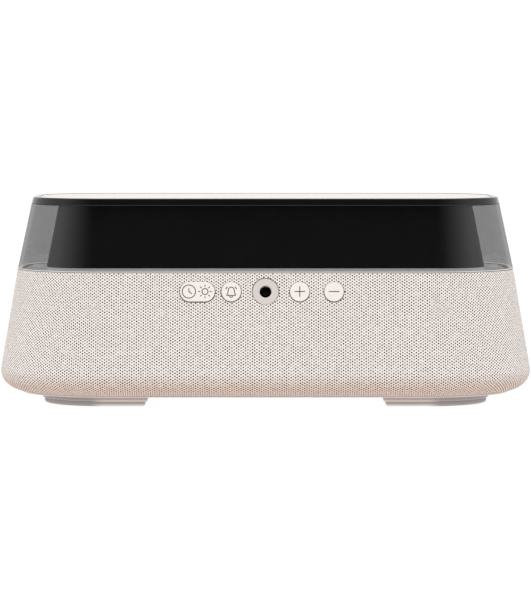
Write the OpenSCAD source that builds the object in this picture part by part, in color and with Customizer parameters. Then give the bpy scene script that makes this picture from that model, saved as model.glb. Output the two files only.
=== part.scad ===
// Bedside smart home hub: a fabric-wrapped speaker base under a smoked clock band.
// The control side faces -Y, the clock and the speakers face +Y, and the feet stand on z = 0.

/* [Body] */
// Width of the body at its widest line
body_w = 264; // [250:1:320]
// Depth of the body at its widest line
body_d = 128; // [124:1:156]
// Corner radius of the outline at its widest line
corner_r = 51.6; // [46:0.2:53.6]
// Height of the widest line above the surface
wide_z = 16.2; // [15.6:0.1:18]
// Height of the seam between fabric and band
seam_z = 66.5; // [66:0.5:80]
// How far the outline draws in from the widest line to the seam
seam_inset = 8.7; // [7:0.1:10]
// Width of the rolled lower edge
roll_w = 12; // [11:0.5:13]
// Wall of the moulded body shell
shell_t = 2.5; // [2:0.1:3]
// Thickness of the knitted sleeve
fabric_t = 1.2; // [0.8:0.1:1.4]

/* [Feet and tray] */
// Thickness of the rubber foot pads
pad_t = 2.5; // [2:0.1:4]
// Thickness of the foot plinths
plinth_t = 2.9; // [2.5:0.1:3.5]
// How far the plinths stand in from the widest line
foot_inset = 20.6; // [20:0.1:24]
// Distance from the centre to a foot's straight inner end
foot_inner = 58; // [55:0.1:60]
// Step from the plinth in to the pad
pad_step = 1.2; // [0.6:0.1:2]
// Plate of the base tray
tray_t = 2.5; // [2:0.1:3]

/* [Band and top] */
// Height of the smoked lens from the seam to the top frame
lens_h = 32.4; // [30:0.1:36]
// Height of the black top frame
frame_h = 3.2; // [3:0.1:4]
// How far the outline draws in from the widest line to the top
top_inset = 16.4; // [15:0.1:18]
// Wall of the smoked lens
lens_t = 2; // [1.6:0.1:2.4]
// Width of the top frame's visible rim
rim_w = 3; // [2.5:0.1:4]
// Space between the lens and the display core at the ends
core_end_gap = 13.7; // [13.5:0.1:18]
// Space between the lens and the display core along the sides
core_side_gap = 2.7; // [2.5:0.1:3]
// Height of the pale spacer under the display core
spacer_h = 2; // [1.9:0.1:3]

/* [Controls] */
// Height of the key row
key_z = 57.3; // [57:0.1:58]
// Distance between neighbouring controls
key_pitch = 16.6; // [16:0.1:18]
// Diameter of a round key
key_d = 9.5; // [8:0.1:10]
// Length of the two-way rocker key
rocker_l = 16.9; // [16:0.1:18]
// How far the keys stand out of the fabric
key_proud = 0.5; // [0.3:0.1:0.8]
// Travel of a round key
key_travel = 0.7; // [0.4:0.1:0.8]

/* [Power inlet] */
// Bore of the inlet, for a 5.5 mm barrel plug
inlet_bore = 5.8; // [5.7:0.1:6]
// Diameter of the inlet's bezel
bezel_d = 12.5; // [12:0.1:13]
// Diameter of the centre contact
inlet_pin_d = 2; // [1.6:0.1:2.1]

/* [Speakers] */
// Outer diameter of a driver's rim
driver_d = 46.8; // [44:0.2:47]
// Height of the drivers' axis
driver_z = 37; // [36:0.5:38]
// Outer width of a speaker box
box_w = 64; // [60:1:64]
// Wall of a speaker box
box_t = 2.2; // [2:0.1:2.5]
// Travel of a speaker cone each way
cone_travel = 1.2; // [0.8:0.1:1.3]

/* [Clock display] */
// Height of a clock digit
digit_h = 15; // [12:0.5:16]
// Distance between digits
digit_pitch = 15; // [14:0.5:16]
// Width of a lit segment
segment_w = 1.8; // [1.4:0.1:2]

/* [Circuit boards] */
// Width of the main board
board_w = 56; // [50:1:56]
// Thickness of every circuit board
board_t = 1.6; // [1:0.1:1.6]

/* [Fits] */
// Gap between a round key and its hole
key_gap = 0.3; // [0.3:0.05:0.4]
// Gap between the rocker key and its hole
rocker_gap = 0.5; // [0.45:0.05:0.6]
// Gap round pieces that drop into place
drop_gap = 0.3; // [0.2:0.05:0.4]
// Clearance round a screw's shank in a hole
screw_gap = 0.3; // [0.2:0.05:0.4]

/* [Hidden] */
fine = 72;
small = 32;
skin = 0.02;       // gap that keeps glued or threaded faces apart
through = 1;       // how far a cut runs past the face it opens

// Colours
fabric_colour = [0.88, 0.84, 0.8];
beige = [0.93, 0.9, 0.87];
foot_beige = [0.6, 0.55, 0.52];
pad_grey = [0.72, 0.68, 0.66];
black = [0.06, 0.06, 0.06];
smoke = [0.25, 0.25, 0.26, 0.6];
white = [0.95, 0.95, 0.93];
steel = [0.75, 0.75, 0.77];
brass = [0.8, 0.65, 0.3];
green = [0.1, 0.35, 0.2];
ferrite = [0.2, 0.2, 0.22];
paper = [0.25, 0.24, 0.23];
amber = [0.95, 0.7, 0.35];

// Heights
foot_h = pad_t + plinth_t;              // underside of the tray
tray_rim_h = 0.65;                      // visible strip of the tray under the fabric
roll_z = foot_h + tray_rim_h;           // lower end of the rolled edge
roll_h = wide_z - roll_z;               // height of the rolled edge
tray_top = foot_h + tray_t;
gasket_t = 0.25;
shell_top = seam_z - gasket_t;
deck_t = 2;
deck_top = shell_top - 0.05;           // the deck stays clear of the gasket above it
deck_z = deck_top - deck_t;
lens_top = seam_z + lens_h;
hub_h = lens_top + frame_h;
core_z = deck_top + spacer_h;           // underside of the display core
ledge_t = 1.6;
ledge_top = hub_h - 2;                  // ledge that carries the top pad
ledge_z = ledge_top - ledge_t;

// Corner centres of the outline, shared by every layer that follows it
corner_x = body_w/2 - corner_r;
corner_y = body_d/2 - corner_r;

// The wall leans in by this angle between the widest line and the seam
lean = atan(seam_inset/(seam_z - wide_z));
lens_slope = (top_inset - seam_inset)/(lens_h + frame_h);

// Offset of a surface from the widest outline: the body wall and the lens, depth t below the surface
function wall_off(z, t) = -seam_inset*(z - wide_z)/(seam_z - wide_z) - t;
function lens_off(z, t) = -seam_inset - lens_slope*(z - seam_z) - t;

// Outline of the body's side from the rolled edge up to height z_top, t below the surface
function wall_side(t, z_top) = concat(
    [for (a = [0:15:90]) [-roll_w + (roll_w - t)*sin(a), wide_z - (roll_h - t)*cos(a)]],
    [[wall_off(z_top, t), z_top]]
);
function reversed(list) = [for (i = [len(list) - 1:-1:0]) list[i]];

// ---- shapes that repeat ----

// Closed profile of [offset, z] points carried round a rounded rectangle with corner centres at (cx, cy)
module profile_ring(profile, cx = corner_x, cy = corner_y, r = corner_r) {
    pts = [for (p = profile) [r + p[0], p[1]]];
    for (q = [[1, 1, 0], [-1, 1, 90], [-1, -1, 180], [1, -1, 270]])
        translate([q[0]*cx, q[1]*cy, 0]) rotate([0, 0, q[2]])
            rotate_extrude(angle = 90, $fn = fine) polygon(pts);
    for (turn = [0, 180]) rotate([0, 0, turn]) {
        translate([cx, cy, 0]) rotate([90, 0, 0]) linear_extrude(2*cy) polygon(pts);
        translate([cx, -cy, 0]) rotate([90, 0, -90]) linear_extrude(2*cx) polygon(pts);
    }
}

// Solid whose side follows a profile of [offset, z] points from its lowest to its highest
module profile_solid(side, cx = corner_x, cy = corner_y, r = corner_r) {
    low = side[0][1];
    high = side[len(side) - 1][1];
    profile_ring(concat(side, [[-r, high], [-r, low]]), cx, cy, r);
    translate([-cx, -cy, low]) cube([2*cx, 2*cy, high - low]);
}

// Straight-sided plate with the outline's shape
module plate(offset, low, high) {
    profile_solid([[offset, low], [offset, high]]);
}

// Puts children at each point of a list, mirrored to all four quarters
module at_quarters(x, y, z = 0) {
    for (sx = [-1, 1]) for (sy = [-1, 1]) translate([sx*x, sy*y, z]) children();
}

module bar(low, high) {
    translate(low) cube(high - low);
}

// Pan-head screw with a cross recess: the head stands on z = 0, the shank points down
screw_shank_r = 1.25;
screw_head_r = 2.4;
screw_head_h = 1.5;
module screw(length) {
    cross_l = 2.6;
    cross_w = 0.6;
    cross_depth = 0.7;
    difference() {
        union() {
            cylinder(r = screw_head_r, h = screw_head_h, $fn = small);
            translate([0, 0, -length]) cylinder(r = screw_shank_r, h = length + screw_head_h/2,
                $fn = small);
        }
        for (turn = [0, 90]) rotate([0, 0, turn])
            translate([-cross_l/2, -cross_w/2, screw_head_h - cross_depth])
                cube([cross_l, cross_w, cross_depth + through]);
    }
}
module screw_hole(length) {
    translate([0, 0, -length]) cylinder(r = screw_shank_r + screw_gap, h = length, $fn = small);
}
module screw_head_room(depth) {
    cylinder(r = screw_head_r + screw_gap, h = depth, $fn = small);
}

// Boss of height h standing on z = 0 with a pilot hole open at its top
boss_r = 3.5;
pilot_r = screw_shank_r + skin;
module boss(h, r = boss_r) {
    cylinder(r = r, h = h, $fn = small);
}
module pilot(depth) {
    translate([0, 0, -depth]) cylinder(r = pilot_r, h = depth + through, $fn = small);
}

// ---- base ----

// Screws that hold the tray to the shell, and the two kinds that hold a foot
tray_screw_y = body_d/2 - 19.5;
tray_screw_back_x = 48;
tray_screw_front_x = 26;
foot_screw_outer = [body_w/2 - 26.5, 12];
foot_screw_inner = [66, body_d/2 - 34];
tray_screw_spots = [
    [-tray_screw_back_x, -tray_screw_y], [tray_screw_back_x, -tray_screw_y],
    [-tray_screw_front_x, tray_screw_y], [tray_screw_front_x, tray_screw_y]
];
tray_screw_l = 9;
foot_screw_l = 8.2;
foot_head_depth = 1.6;
tray_boss_top = 13.6;          // bosses that stand on the tray
shell_boss_z = tray_top + drop_gap;
shell_boss_top = 22;
tray_lip_top = roll_z + fabric_t + shell_t - 0.1;   // just below the shell's lower wall
tray_lip_t = 2;

// Speaker boxes and the ears that hold them to the tray
box_in_x = body_w/2 - 32 - box_w;
box_mid_x = box_in_x + box_w/2;
box_front_y = body_d/2 - 18;
box_back_y = -20;
box_low = tray_boss_top + 0.4;
box_top = 60;
ear_l = 7;
ear_t = 2;
outer_ear = [box_in_x + box_w + 3.6, 0];
inner_ear = [box_in_x - 3.6, 10];
ear_post_r = 3;

// Main board and its standoffs
board_l = body_d - 56;
board_z = tray_boss_top - 0.6;
board_top = board_z + board_t;
standoff_x = board_w/2 - 4;
standoff_y = board_l/2 - 4;
standoff_r = 3;

module tray_posts() {
    for (s = [-1, 1]) {
        for (sy = [-1, 1]) translate([s*foot_screw_inner[0], sy*foot_screw_inner[1], tray_top - skin])
            boss(tray_boss_top - tray_top);
        translate([s*outer_ear[0], outer_ear[1], tray_top - skin])
            boss(box_low - tray_top + skin, ear_post_r);
        translate([s*inner_ear[0], inner_ear[1], tray_top - skin])
            boss(box_low - tray_top + skin, ear_post_r);
    }
    at_quarters(standoff_x, standoff_y, tray_top - skin) boss(board_z - tray_top + skin, standoff_r);
}

module base_tray() {
    flange_in = 1.5;
    chamfer = 0.3;
    flange = -(roll_w - flange_in);
    fit = -(roll_w + drop_gap);
    pilot_depth = 5;
    side = [
        [flange - chamfer, foot_h], [flange, foot_h + chamfer], [flange, roll_z - skin], [fit,
            roll_z - skin],
        [fit, tray_lip_top], [fit - tray_lip_t, tray_lip_top], [fit - tray_lip_t, tray_top]
    ];
    color(beige) difference() {
        union() {
            profile_solid(side);
            tray_posts();
        }
        for (p = tray_screw_spots) translate([p[0], p[1], 0]) {
            translate([0, 0, foot_h - through]) screw_head_room(through + foot_head_depth);
            translate([0, 0, tray_top + through]) screw_hole(tray_t + 2*through);
        }
        at_quarters(foot_screw_outer[0], foot_screw_outer[1], tray_top + through)
            screw_hole(tray_t + 2*through);
        at_quarters(foot_screw_inner[0], foot_screw_inner[1], tray_boss_top - through)
            mirror([0, 0, 1]) screw_hole_pilot(tray_boss_top - foot_h);
        for (s = [-1, 1]) {
            translate([s*outer_ear[0], outer_ear[1], box_low]) pilot(pilot_depth);
            translate([s*inner_ear[0], inner_ear[1], box_low]) pilot(pilot_depth);
        }
        at_quarters(standoff_x, standoff_y, board_z) pilot(pilot_depth - 1);
        at_quarters(plinth_peg[0], plinth_peg[1], foot_h - through)
            cylinder(r = plinth_peg_r + screw_gap, h = tray_t + 2*through, $fn = small);
    }
}

// Blind pilot hole drilled up from the tray's underside
module screw_hole_pilot(depth) {
    cylinder(r = pilot_r, h = depth, $fn = small);
}

plinth_peg = [foot_inner + 10, 10];
plinth_peg_r = 1.6;
plinth_edge = 0.5;

// D-shaped block under one end: the outline drawn in, cut off straight towards the middle
module foot_block(inset, inner, low, high, edge) {
    far = body_w;
    intersection() {
        profile_solid([[-inset - edge, low], [-inset, low + edge], [-inset, high]]);
        bar([inner, -far/2, low - through], [far, far/2, high + through]);
    }
}

module foot_plinth(s) {
    color(foot_beige) mirror([s < 0 ? 1 : 0, 0, 0]) {
        difference() {
            foot_block(foot_inset, foot_inner, pad_t, foot_h, plinth_edge);
            for (p = [foot_screw_outer, foot_screw_inner]) for (sy = [-1, 1])
                translate([p[0], sy*p[1], 0]) {
                translate([0, 0, pad_t - through]) screw_head_room(through + foot_head_depth);
                translate([0, 0, foot_h + through]) screw_hole(plinth_t + through);
            }
        }
        for (sy = [-1, 1]) translate([plinth_peg[0], sy*plinth_peg[1], foot_h - skin])
            cylinder(r = plinth_peg_r, h = tray_t - 0.3, $fn = small);
    }
}

module foot_pad(s) {
    color(pad_grey) mirror([s < 0 ? 1 : 0, 0, 0])
        foot_block(foot_inset + pad_step, foot_inner + pad_step, 0, pad_t - skin, plinth_edge);
}

module foot_screws() {
    head_z = pad_t + foot_head_depth;
    color(steel) for (p = [foot_screw_outer, foot_screw_inner])
        at_quarters(p[0], p[1], head_z) mirror([0, 0, 1]) screw(foot_screw_l);
}

module tray_screws() {
    head_z = foot_h + foot_head_depth;
    color(steel) for (p = tray_screw_spots) translate([p[0], p[1], head_z]) mirror([0, 0, 1])
        screw(tray_screw_l);
}

// The display core is a tapered box of its own outline, well clear of the lens at both ends
core_r = 20;
core_wall = 2;
core_floor_t = 1.5;
core_slope = 0.2;
frame_lip = 0.6;                        // how far the top frame drops inside the lens
core_top = lens_top - frame_lip - skin;
post_top = ledge_z - skin;
spacer_lip = 0.3;                       // how far the core stands out over the spacer
spacer_wall = 3;
rim_clearance = 0.2;                    // between the spacer's corners and the shell's rim
core_half_x = body_w/2 + lens_off(seam_z, 0) - core_end_gap - 1.8;
core_half_y = body_d/2 + lens_off(core_z, lens_t) - core_side_gap;
core_cx = core_half_x - core_r;
core_cy = core_half_y - core_r;
core_corner_reach = norm([core_cx - corner_x, core_cy - corner_y]) + core_r;
shell_rim_r = corner_r + wall_off(shell_top, fabric_t + shell_t);
spacer_inset = max(spacer_lip, core_corner_reach - shell_rim_r + rim_clearance);
function core_off(z, t) = -core_slope*(z - core_z) - t;
frame_screw_spot = [body_w/2 - 48, body_d/2 - 31];
window_half = 47;
window_low = core_z + 5;
window_high = window_low + 21;

// ---- body shell and fabric ----

deck_end_x = body_w/2 - 18;
deck_back_x = body_w/2 - 70;
deck_front_x = 20;
deck_side_y = core_half_y - spacer_inset - spacer_wall - screw_head_r - 1;
deck_spots = [
    [-deck_end_x, 0], [deck_end_x, 0], [-deck_back_x, -deck_side_y],
    [deck_back_x, -deck_side_y], [-deck_front_x, deck_side_y], [deck_front_x, deck_side_y]
];
deck_boss_h = 10;
deck_boss_r = 4;
gusset_t = 2.4;
wall_mid = fabric_t + shell_t/2;      // depth of the wall's middle, where ribs end

// Boss with a gusset that runs out to the nearest wall and stops at the middle of its thickness
module wall_boss(spot, low, high, r, gusset_low) {
    at_end = abs(spot[0]) > corner_x;
    turn = at_end ? (spot[0] > 0 ? 0 : 180) : (spot[1] > 0 ? 90 : -90);
    translate([spot[0], spot[1], low]) boss(high - low, r);
    intersection() {
        profile_solid(wall_side(wall_mid, shell_top));
        translate([spot[0], spot[1], gusset_low]) rotate([0, 0, turn])
            translate([0, -gusset_t/2, 0]) cube([corner_r, gusset_t, high - gusset_low]);
    }
}

// Frame of the control side: z points out of the wall, y up along it, and z = 0 is the fabric's surface
module on_face(x, y = 0) {
    translate([x, -(body_d/2 + wall_off(key_z, 0)), key_z]) rotate([90 - lean, 0, 0])
        translate([0, y, 0]) children();
}
function depth(t) = -t*cos(lean);
shell_outer_z = depth(fabric_t);
shell_inner_z = depth(fabric_t + shell_t);

rocker_x = -2*key_pitch + 0.2;
alarm_x = -key_pitch;
plus_x = key_pitch;
minus_x = 2*key_pitch;
rocker_h = key_d + 0.1;

// Key boards behind the wall, and the bosses that carry them
key_board_z = -11;
key_board_low = -13;
key_board_high = 5.4;
key_board_in = 9.6;
key_board_out = 44.6;
key_boss_y = -9.6;
key_boss_in = 13.2;
key_boss_out = 40;
key_boss_r = 2.9;
key_pilot_depth = 5;
key_boss_spots = [-key_boss_out, -key_boss_in, key_boss_in, key_boss_out];

// Stadium-shaped solid from a half profile of [radius, z] points, length between its arc centres
module stadium(profile, length) {
    mirrored = [for (p = reversed(profile)) [-p[0], p[1]]];
    for (turn = [0, 180]) rotate([0, 0, turn])
        translate([length/2, 0, 0]) rotate([0, 0, -90]) rotate_extrude(angle = 180, $fn = fine)
            polygon(profile);
    translate([-length/2, 0, 0]) rotate([90, 0, 90]) linear_extrude(length)
        polygon(concat(profile, mirrored));
}

// Openings for the controls, gap round each piece and cut between two depths
module control_cuts(low, high, inlet_r) {
    for (x = [alarm_x, plus_x, minus_x]) on_face(x) translate([0, 0, low])
        cylinder(r = key_d/2 + key_gap, h = high - low, $fn = fine);
    r = rocker_h/2 + rocker_gap;
    on_face(rocker_x) stadium([[0, low], [r, low], [r, high], [0, high]], rocker_l - rocker_h);
    on_face(0) translate([0, 0, low]) cylinder(r = inlet_r, h = high - low, $fn = fine);
}

// Upright sound slots in front of a driver
slot_w = 2;
slot_pitch = 4;
slot_field_r = 19;
module sound_slots(s) {
    count = floor(slot_field_r/slot_pitch);
    for (i = [-count:count]) {
        half = sqrt(pow(slot_field_r, 2) - pow(i*slot_pitch, 2));
        x = s*box_mid_x + i*slot_pitch;
        bar([x - slot_w/2, box_front_y, driver_z - half], [x + slot_w/2, body_d, driver_z + half]);
    }
}

bezel_neck_r = bezel_d/2 - 1.4;
module body_shell() {
    shell = concat(wall_side(fabric_t, shell_top), reversed(wall_side(fabric_t + shell_t, shell_top)));
    pilot_depth = 6;
    color(beige) difference() {
        union() {
            profile_ring(shell);
            for (p = tray_screw_spots) wall_boss(p, shell_boss_z, shell_boss_top, boss_r,
                roll_z + fabric_t + shell_t);
            for (sx = [-1, 1]) for (sy = [-1, 1])
                wall_boss([sx*foot_screw_outer[0], sy*foot_screw_outer[1]], shell_boss_z,
                    shell_boss_top, boss_r,
                    roll_z + fabric_t + shell_t);
            for (p = deck_spots) wall_boss(p, deck_z - deck_boss_h, deck_z - skin, deck_boss_r,
                deck_z - deck_boss_h);
            for (x = key_boss_spots) on_face(x, key_boss_y) translate([0, 0, key_board_z])
                cylinder(r = key_boss_r, h = depth(wall_mid) - key_board_z, $fn = small);
        }
        for (p = tray_screw_spots) translate([p[0], p[1], shell_boss_z - through])
            screw_hole_pilot(tray_screw_l);
        at_quarters(foot_screw_outer[0], foot_screw_outer[1], shell_boss_z - through)
            screw_hole_pilot(foot_screw_l);
        for (p = deck_spots) translate([p[0], p[1], deck_z]) pilot(pilot_depth);
        for (x = key_boss_spots) on_face(x, key_boss_y) translate([0, 0, key_board_z - through])
            cylinder(r = pilot_r, h = key_pilot_depth + through, $fn = small);
        control_cuts(shell_inner_z - 2*through, shell_outer_z + 2*through, bezel_neck_r + 0.1);
        for (s = [-1, 1]) sound_slots(s);
    }
}

module fabric_sleeve() {
    top = seam_z - gasket_t;
    sleeve = concat(wall_side(0, top), reversed(wall_side(fabric_t - skin, top)));
    color(fabric_colour) difference() {
        profile_ring(sleeve);
        control_cuts(shell_outer_z - through, 2*through, bezel_d/2 + 0.15);
    }
}

// ---- deck, band and top ----

core_screw_spot = [60, body_d/2 - 39];
core_boss_r = 4;
cable_slot_w = 24;
cable_slot_y = [body_d/2 - 37, body_d/2 - 31];

module cable_slot(low, high) {
    bar([-cable_slot_w/2, cable_slot_y[0], low - through], [cable_slot_w/2, cable_slot_y[1],
        high + through]);
}

module mid_deck() {
    edge = wall_off(deck_top, fabric_t + shell_t) - drop_gap;
    color(white) difference() {
        union() {
            plate(edge, deck_z, deck_top);
            at_quarters(core_screw_spot[0], core_screw_spot[1], deck_z)
                boss(core_z - skin - deck_z, core_boss_r);
        }
        for (p = deck_spots) translate([p[0], p[1], deck_top + through]) screw_hole(deck_t + 2*through);
        at_quarters(core_screw_spot[0], core_screw_spot[1], core_z) pilot(core_z - deck_z + through);
        cable_slot(deck_z, deck_top);
    }
}

module deck_screws() {
    length = 7;
    color(steel) for (p = deck_spots) translate([p[0], p[1], deck_top + skin]) screw(length);
}

module lens_gasket() {
    inner = lens_off(seam_z, lens_t);
    outer = lens_off(seam_z, 0.4);
    low = shell_top + skin;
    high = seam_z - skin;
    color(black) profile_ring([[inner, low], [outer, low], [outer, high], [inner, high]]);
}

module smoked_lens() {
    color(smoke) profile_ring([
        [lens_off(seam_z, 0), seam_z], [lens_off(lens_top, 0), lens_top],
        [lens_off(lens_top, lens_t), lens_top], [lens_off(seam_z, lens_t), seam_z]
    ]);
}

module core_spacer() {
    low = deck_top + skin;
    high = core_z - skin;
    color(white) profile_ring([
        [-spacer_inset, low], [-spacer_inset, high],
        [-spacer_inset - spacer_wall, high], [-spacer_inset - spacer_wall, low]
    ], core_cx, core_cy, core_r);
}

module display_core() {
    floor_top = core_z + core_floor_t;
    pilot_depth = 8;
    color(black) difference() {
        union() {
            profile_ring([
                [core_off(core_z, 0), core_z], [core_off(core_top, 0), core_top],
                [core_off(core_top, core_wall), core_top], [core_off(floor_top, core_wall), floor_top],
                [-core_r, floor_top], [-core_r, core_z]
            ], core_cx, core_cy, core_r);
            translate([-core_cx, -core_cy, core_z]) cube([2*core_cx, 2*core_cy, core_floor_t]);
            at_quarters(frame_screw_spot[0], frame_screw_spot[1], core_z)
                boss(post_top - core_z, core_boss_r);
        }
        at_quarters(core_screw_spot[0], core_screw_spot[1], floor_top + through)
            screw_hole(core_floor_t + 2*through);
        at_quarters(frame_screw_spot[0], frame_screw_spot[1], post_top) pilot(pilot_depth);
        bar([-window_half, 0, window_low], [window_half, body_d, window_high]);
        cable_slot(core_z, floor_top);
    }
}

module core_screws() {
    length = 5;
    color(steel) at_quarters(core_screw_spot[0], core_screw_spot[1], core_z + core_floor_t + skin)
        screw(length);
}

module top_frame() {
    edge = 0.4;
    lip_t = 2;
    ledge_w = 15;
    rim_in = lens_off(hub_h, rim_w);
    lip_out = lens_off(lens_top, lens_t) - 0.2;
    side = [
        [lens_off(lens_top, 0), lens_top + skin], [lens_off(hub_h - edge, 0), hub_h - edge],
        [lens_off(hub_h, edge), hub_h], [rim_in, hub_h], [rim_in, ledge_top], [rim_in - ledge_w,
            ledge_top],
        [rim_in - ledge_w, ledge_z], [lip_out - lip_t, ledge_z], [lip_out - lip_t,
            lens_top - frame_lip],
        [lip_out, lens_top - frame_lip], [lip_out, lens_top + skin]
    ];
    color(black) difference() {
        profile_ring(side);
        at_quarters(frame_screw_spot[0], frame_screw_spot[1], ledge_top + through)
            screw_hole(ledge_t + 2*through);
        at_quarters(frame_screw_spot[0], frame_screw_spot[1], ledge_top - frame_head_sink)
            screw_head_room(frame_head_sink + through);
    }
}

frame_head_sink = 0.8;
module frame_screws() {
    length = 7;
    color(steel) at_quarters(frame_screw_spot[0], frame_screw_spot[1],
        ledge_top - frame_head_sink + skin) screw(length);
}

mic_hole_r = 0.6;
mic_hole_x = 7;
mic_y = 0;
module top_pad() {
    rim_in = lens_off(hub_h, rim_w);
    edge = 0.3;
    top = hub_h - 0.15;                  // just below the rim, which guards it
    outer = rim_in - 0.15;
    head_room = screw_head_h - frame_head_sink + drop_gap;
    color(beige) difference() {
        profile_solid([[outer, ledge_top + skin], [outer, top - edge], [outer - edge, top]]);
        for (s = [-1, 1]) translate([s*mic_hole_x, mic_y, ledge_top - through])
            cylinder(r = mic_hole_r, h = hub_h - ledge_top + 2*through, $fn = small);
        at_quarters(frame_screw_spot[0], frame_screw_spot[1], ledge_top - through)
            screw_head_room(through + head_room);
    }
}

module mic_board() {
    half_l = 12;
    half_w = 5;
    can_h = 1;
    top = ledge_top - skin;
    color(green) difference() {
        bar([-half_l, mic_y - half_w, top - board_t], [half_l, mic_y + half_w, top]);
        for (s = [-1, 1]) translate([s*mic_hole_x, mic_y, top - board_t/2])
            cylinder(r = mic_hole_r, h = board_t, $fn = small);
    }
    color(steel) for (s = [-1, 1])
        bar([s*mic_hole_x - 2, mic_y - 1.5, top - board_t - can_h], [s*mic_hole_x + 2, mic_y + 1.5,
            top - board_t]);
}

// ---- clock display, facing +Y ----

display_floor = core_z + core_floor_t + skin;
display_y = body_d/2 - 22;                // front face of the digit housing
housing_t = 6;
housing_half = 46;
digit_mid_z = (window_low + window_high)/2;
digit_w = 8;
colon_w = 2.4;
segment_t = 0.6;

// Bar with pointed ends, lying along x in the plane of the display
module segment(length) {
    half = length/2;
    tip = segment_w/2;
    rotate([90, 0, 180]) linear_extrude(segment_t)
        polygon([[-half, 0], [-half + tip, tip], [half - tip, tip], [half, 0], [half - tip, -tip],
            [-half + tip, -tip]]);
}

module digit() {
    half_h = digit_h/2;
    gap = 0.3;
    upright = half_h - 2*gap;
    for (row = [-1, 0, 1]) translate([0, 0, row*half_h]) segment(digit_w - 2*gap);
    for (sx = [-1, 1]) for (sz = [-1, 1]) translate([sx*digit_w/2, 0, sz*half_h/2])
        rotate([0, 90, 0]) segment(upright);
}

digit_spots = [-1.5*digit_pitch - colon_w, -0.5*digit_pitch - colon_w, 0.5*digit_pitch + colon_w,
    1.5*digit_pitch + colon_w];
module digit_segments() {
    color(amber) translate([0, display_y + skin, digit_mid_z]) {
        for (x = digit_spots) translate([x, 0, 0]) digit();
        for (row = [-1, 1]) translate([-colon_w/2, 0, row*digit_h/4 - colon_w/2])
            cube([colon_w, segment_t, colon_w]);
    }
}

module digit_housing() {
    color(black) bar([-housing_half, display_y - housing_t, display_floor], [housing_half,
        display_y, window_high - 1]);
}

module display_window() {
    inset = 0.4;
    thickness = 1.2;
    y = display_y + segment_t + 2*skin + 0.3;
    color(smoke) bar([-window_half + inset, y, window_low + inset], [window_half - inset,
        y + thickness, window_high - inset]);
}

display_board_y = display_y - housing_t - skin;
module display_board() {
    half = housing_half + 3;
    chip_t = 1.4;
    color(green) bar([-half, display_board_y - board_t, display_floor], [half, display_board_y,
        window_high + 1]);
    color(black) for (x = [-20, 8]) translate([x, display_board_y - board_t - chip_t, digit_mid_z])
        cube([12, chip_t, 7]);
}

// ---- power inlet ----

jack_l = 12;
jack_w = 11;
nut_t = 1.3;
nut_room = 0.45;                         // from the nut to the end of the bezel's thread
bezel_l = nut_t + nut_room - shell_inner_z;
module jack_bezel() {
    edge = 0.3;
    proud = 0.3;
    r = bezel_d/2;
    bore_r = inlet_bore/2;
    neck_z = shell_outer_z + skin;
    color([0.86, 0.83, 0.81]) on_face(0) difference() {
        rotate_extrude($fn = fine) polygon([
            [bore_r - through, proud], [r - edge, proud], [r, proud - edge], [r, neck_z],
                [bezel_neck_r, neck_z],
            [bezel_neck_r, -bezel_l], [bore_r - through, -bezel_l]
        ]);
        translate([0, 0, -bezel_l - through]) cylinder(r = bore_r, h = bezel_l + 2*through, $fn = fine);
    }
}

module jack_nut() {
    across = 13.5;
    top = shell_inner_z - skin;
    color(steel) on_face(0) difference() {
        translate([0, 0, top - nut_t]) cylinder(d = across/cos(30), h = nut_t, $fn = 6);
        translate([0, 0, top - nut_t - through]) cylinder(r = bezel_neck_r + skin,
            h = nut_t + 2*through, $fn = fine);
    }
}

jack_end = -bezel_l - skin - jack_l;
module dc_jack() {
    floor_t = 2;
    tab_l = 3;
    bore_r = inlet_bore/2 + 0.6;         // wider than the bezel's bore, which alone guides the plug
    color(black) on_face(0) difference() {
        translate([-jack_w/2, -jack_w/2, jack_end]) cube([jack_w, jack_w, jack_l]);
        translate([0, 0, jack_end + floor_t]) cylinder(r = bore_r, h = jack_l, $fn = small);
        translate([0, 0, jack_end - through]) cylinder(d = inlet_pin_d + 2*skin,
            h = floor_t + 2*through, $fn = small);
    }
    color(brass) on_face(0) for (x = [-3.5, 3.5]) translate([x - 1, -0.4, jack_end - tab_l])
        cube([2, 0.8, tab_l + 0.5]);
}

module dc_jack_pin() {
    below = 1.5;
    tip_gap = 3;
    color(steel) on_face(0) translate([0, 0, jack_end - below])
        cylinder(d = inlet_pin_d, h = jack_l + below - tip_gap, $fn = small);
}

// ---- keys ----

flange_gap = 0.4;
rocker_flange_gap = 0.6;
flange_t = 1;
flange_w = 1.2;
key_edge = 0.4;
switch_h = 3.4;
switch_w = 6;
switch_top = key_board_z + switch_h;
stem_r = 1.5;
stem_reach = key_travel + 0.5;           // the stem reaches this far into the switch at rest
stem_end = switch_top - stem_reach;
switch_bore_r = stem_r + 0.7;
rocker_stem_x = 5;

// Half profile of a cap: the top's edge, the side and the flange that keeps it behind the wall
function cap_profile(r, gap) = let (top = shell_inner_z - gap, low = top - flange_t) [
    [0, key_proud], [r - key_edge, key_proud], [r, key_proud - key_edge], [r, top],
    [r + flange_w, top], [r + flange_w, low], [0, low]
];

// Stem from a cap's flange down into its switch
module key_stem(gap) {
    translate([0, 0, stem_end]) cylinder(r = stem_r,
        h = shell_inner_z - gap - flange_t/2 - stem_end, $fn = small);
}

module round_key(x) {
    color(beige) on_face(x) {
        rotate_extrude($fn = fine) polygon(cap_profile(key_d/2, flange_gap));
        key_stem(flange_gap);
    }
}

module rocker_key() {
    color(beige) on_face(rocker_x) {
        stadium(cap_profile(rocker_h/2, rocker_flange_gap), rocker_l - rocker_h);
        for (s = [-1, 1]) translate([s*rocker_stem_x, 0, 0]) key_stem(rocker_flange_gap);
    }
}

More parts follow.
